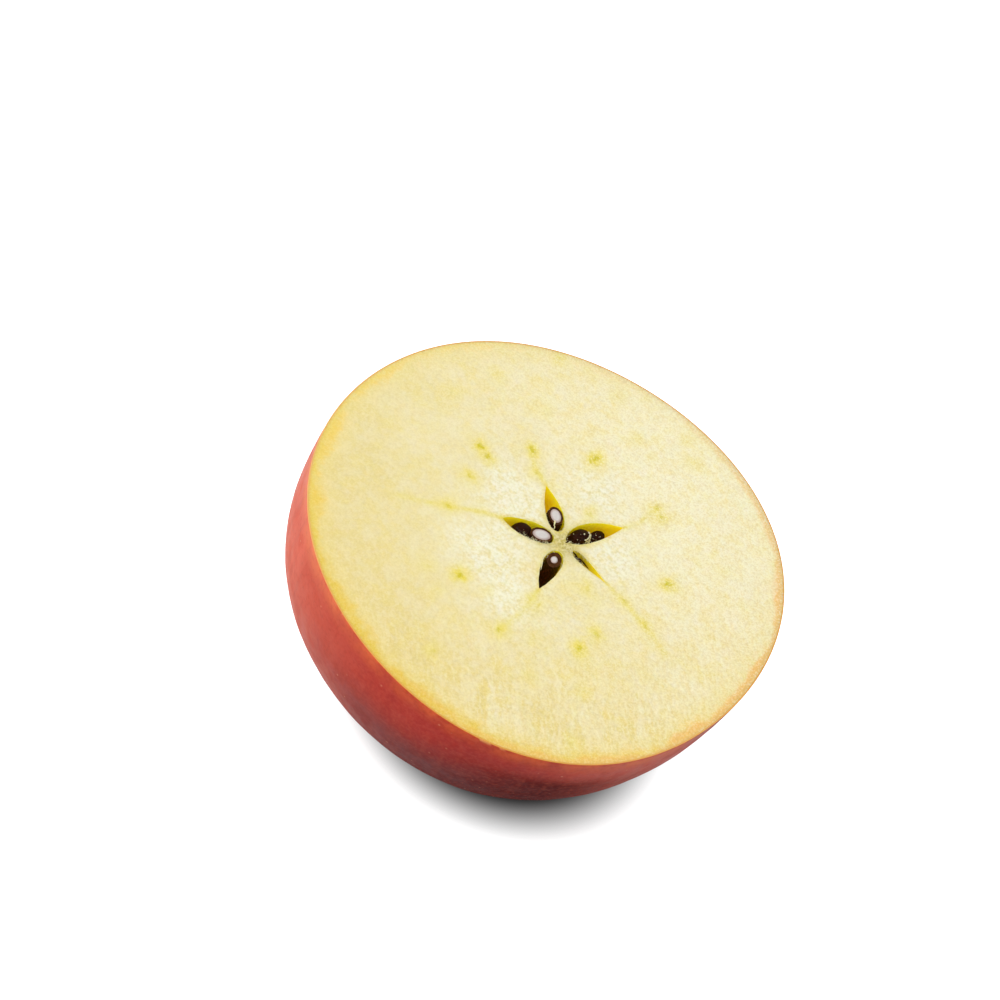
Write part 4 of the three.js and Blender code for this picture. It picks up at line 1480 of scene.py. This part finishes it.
def sepals():
    """Five leaves. At a share a along, the distance from the axis is root + spread · a², the
    width tip + (width - tip) · (1 - a)^taper, and the section an oval that cups inwards at its
    edges and has a rib in its middle. The edges are wavy, the faces crumpled, the tips curled."""
    along = np.linspace(0, 1, SEPAL_RINGS)[None, :, None]
    leaf = np.arange(SEPALS)[:, None, None]
    around = turns_round(SEPAL_COLUMNS)

    def wavy(across, height, long, wide, apart, shift, seed):
        """One unevenness over all the leaves. They lie apart in it, so that they differ."""
        return height * uneven(along * long + leaf * apart, across * wide + shift, seed)

    width = SEPAL_TIP + (SEPAL_WIDTH - SEPAL_TIP) * (1 - along) ** SEPAL_TAPER
    width = width * (1 + wavy(np.cos(around) + leaf, *SEPAL_WAVES))
    across = width / 2 * np.cos(around)
    thick = SEPAL_THICKNESS / 2 * (1 - along / 2) * np.sin(around)
    relief = RIB_RISE * bell(across, RIB_WIDTH) * (1 - along) + wavy(across, *SEPAL_CRUMPLES)
    out = SEPAL_ROOT + SEPAL_SPREAD * along**2 - thick + relief - SEPAL_CUP * across**2
    angle = LOBE_CREST + 2 * np.pi * (leaf + 0.5) / SEPALS
    x = RIM_CENTRE[0] + out * np.cos(angle) - across * np.sin(angle)
    y = RIM_CENTRE[1] + out * np.sin(angle) + across * np.cos(angle)
    z = CALYX_ROOT - SEPAL_LENGTH * along + wavy(across, *SEPAL_CURL) * along
    return np.stack([x, y, z], -1)


calyx = Surface()
leaves = sepals()
leaf_numbers = calyx.add(leaves)
calyx.patch(leaf_numbers)
calyx.cap(leaf_numbers[:, 0], leaves[:, 0].mean(1), at_end=False)
calyx.cap(leaf_numbers[:, -1], leaves[:, -1].mean(1))
print("a sepal has", SEPAL_RINGS, "rings of", SEPAL_COLUMNS, "points")

# %% Stamens
STAMENS, STAMEN_STEPS = 18, 9
STAMEN_JITTER, STAMEN_BEND = 0.3, 0.9  # in steps round the axis, and in mm at the tip
STAMEN_ROOTS, STAMEN_LENGTHS, ANTHERS = (0.7, 1.6), (2.6, 4.4), (0.14, 0.22)  # least and most, in mm
STAMEN_CLOSING, STAMEN_DROOP = 0.25, 0.12  # shares by which a tip is drawn in, and up
STAMEN_RADIUS = 0.09

jitter = draw.uniform(-STAMEN_JITTER, STAMEN_JITTER, STAMENS)
turn = 2 * np.pi * (np.arange(STAMENS) + jitter) / STAMENS
share = np.linspace(0, 1, STAMEN_STEPS)
root = np.stack([np.cos(turn), np.sin(turn)], -1) * draw.uniform(*STAMEN_ROOTS, STAMENS)[:, None]
length = draw.uniform(*STAMEN_LENGTHS, STAMENS)[:, None]
bend = draw.normal(0, STAMEN_BEND, (STAMENS, 2))
plan = root[:, None] * (1 - STAMEN_CLOSING * share[:, None]) + bend[:, None] * share[:, None] ** 2
drop = CALYX_ROOT - length * share * (1 - STAMEN_DROOP * share)
paths = np.concatenate([RIM_CENTRE + plan, drop[..., None]], -1)
threads(calyx, paths, np.broadcast_to(STAMEN_RADIUS * (1 - share / 2), drop.shape))
lumps(calyx, paths[:, -1], draw.uniform(*ANTHERS, STAMENS), 82)
print(STAMENS, "stamens")

# %% The look of the dried calyx: grey-brown and papery, with a pale down on it
papery = cloudy_material(
    "dried_calyx",
    cloud=(1.5, 3.0),
    fine=(0.25, 3.5),
    ground=(112, 84, 52),
    coats=[((150, 124, 84),), ((72, 48, 28), 0.5)],
    rough=(0.65, 0.9),
    grain=(0.3, 0.08),
    IOR=1.4,
    Sheen_Weight=0.3,
)
dried_calyx = make_piece("dried_calyx", calyx, [papery])
dress(dried_calyx, "flesh_and_skin")

# %% [markdown]
# ## The room
#
# A studio sweep is a white floor under soft white lamps, with a faint even sky. The cut face
# looks up, so it takes the light evenly, and the skin shows the floor in its gloss. The lamps
# at the left are the brightest, which gives the form a lit side, and one behind lets the wet
# grain glint. The floor has a painted contact shadow: its colour is dark where the fruit rests,
# so it keeps light from the fruit, and a glow that only the camera sees paints the rest white.

# %% Floor
# The painted contact shadow: the floor's colour and its glow both fade out near the fruit.
FLOOR_SHADE = 20.5  # mm from the shade's middle to where the glow starts
FLOOR_GLOW = 31.5  # and to where it is full
SHADE_START, SHADE_END = 22.0, 38.0  # the floor is darker where the fruit touches it
SHADE_MIDDLE = (6.5, -1.5, 0)


def floor_material():
    """Matte white with a faint painted glow, which only the camera sees, so it doesn't light the
    fruit from below. Near the fruit the glow stops and the colour turns dark: a painted contact shadow."""
    material, net, shader = new_material("white_floor", Emission_Strength=1.0)
    cloud = net.mottle(40.0, 1.0)
    offset = net.node("VectorMath", {0: net.millimetres(), 1: SHADE_MIDDLE}, operation="SUBTRACT")
    distance = net.node("VectorMath", {0: offset}, "Value", operation="LENGTH")
    white = net.layers((214, 214, 214), ((220, 220, 220), cloud))
    # Painted shadow: dark near the fruit, white further out.
    tone = net.layers((36, 32, 32), (white, (distance, SHADE_START, SHADE_END)))
    seen = net.node("LightPath", {}, "Is Camera Ray")
    # Painted light: a glow for the camera alone, which stops near the fruit.
    glow = net.layers((0, 0, 0), ((255, 255, 255), (distance, FLOOR_SHADE, FLOOR_GLOW), seen))
    rough = net.slope(cloud, 0.0, 1.0, 0.8, 0.9)
    finish_material(net, shader, Base_Color=tone, Roughness=rough, Emission_Color=glow)
    return material


HALF_FLOOR = 3.0  # metres
floor_mesh = bpy.data.meshes.new("floor")
corners = ((-1, -1), (1, -1), (1, 1), (-1, 1))
corners = [(x * HALF_FLOOR, y * HALF_FLOOR, low[2] * MM) for x, y in corners]
floor_mesh.from_pydata(corners, [], [(0, 1, 2, 3)])
floor_mesh.materials.append(floor_material())
floor = new_object("floor", floor_mesh)
floor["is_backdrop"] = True
print("the floor is at", round(low[2], 4), "mm")

# %% Light from all round, and soft lamps
from mathutils import Matrix, Vector

WORLD_STRENGTH = 0.15
LAMP_DISTANCE, LAMP_SIZE = 0.9, 0.4
LAMP_AIM = Vector((0, 0, 0.02))
# Turn round the fruit and height over the horizon in degrees, and power in watts
LAMPS = {
    "high front": (250, 65, 3.1),
    "high left": (180, 60, 1.4),
    "low left": (200, 20, 3.8),
    "back": (90, 25, 1.8),
    "right": (0, 50, 0.7),
    "front right": (315, 30, 1.6),
}
world = bpy.data.worlds.new("studio")
world.use_nodes = True
world.node_tree.nodes["Background"].inputs["Color"].default_value = (1, 1, 1, 1)
world.node_tree.nodes["Background"].inputs["Strength"].default_value = WORLD_STRENGTH
bpy.context.scene.world = world
for name, (turn, height, power) in LAMPS.items():
    lamp = bpy.data.lights.new(name, "AREA")
    lamp.size, lamp.energy = LAMP_SIZE, power
    turn, height = math.radians(turn), math.radians(height)
    level = math.cos(height)
    ray = Vector((math.cos(turn) * level, math.sin(turn) * level, math.sin(height)))
    placed = new_object(name, lamp)
    placed.location = ray * LAMP_DISTANCE + LAMP_AIM
    placed.rotation_euler = ray.to_track_quat("Z", "Y").to_euler()
print("lamps:", ", ".join(LAMPS))

# %% [markdown]
# ## The camera
#
# A long lens keeps the ellipse of the face nearly free of perspective. The camera looks down
# by 50 degrees and is rolled, so that the fruit seems to lean towards the viewer.

# %% Camera
CAMERA_RIGHT = Vector((0.8582, 0.3931, 0.3300))
CAMERA_UP = Vector((-0.5132, 0.6574, 0.5518))
CAMERA_BACK = Vector((0.0, -0.6429, 0.7659))
CAMERA_EYE = Vector((-9.669, -275.658, 366.43)) * MM
FOCAL_LENGTH, SENSOR = 100, 36  # mm
lens = bpy.data.cameras.new("camera")
lens.lens, lens.sensor_width = FOCAL_LENGTH, SENSOR
camera = new_object("camera", lens)
axes = Matrix((CAMERA_RIGHT, CAMERA_UP, CAMERA_BACK)).transposed().to_4x4()
camera.matrix_world = Matrix.Translation(CAMERA_EYE) @ axes
bpy.context.scene.camera = camera
bpy.context.scene.view_settings.view_transform = "Standard"
print("the camera is", round(CAMERA_EYE.length, 3), "m away")

# %% [markdown]
# ## Sizes
#
# The dressed fruit should keep the size of the plain solids, so both boxes are set side by
# side, and the dressed one is printed.

# %% The two boxes side by side
sizes = {"cad": [list(corner) for corner in cad_box], "visual": [list(corner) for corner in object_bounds()]}
print("box in mm:", [[round(x / MM, 2) for x in corner] for corner in sizes["visual"]])
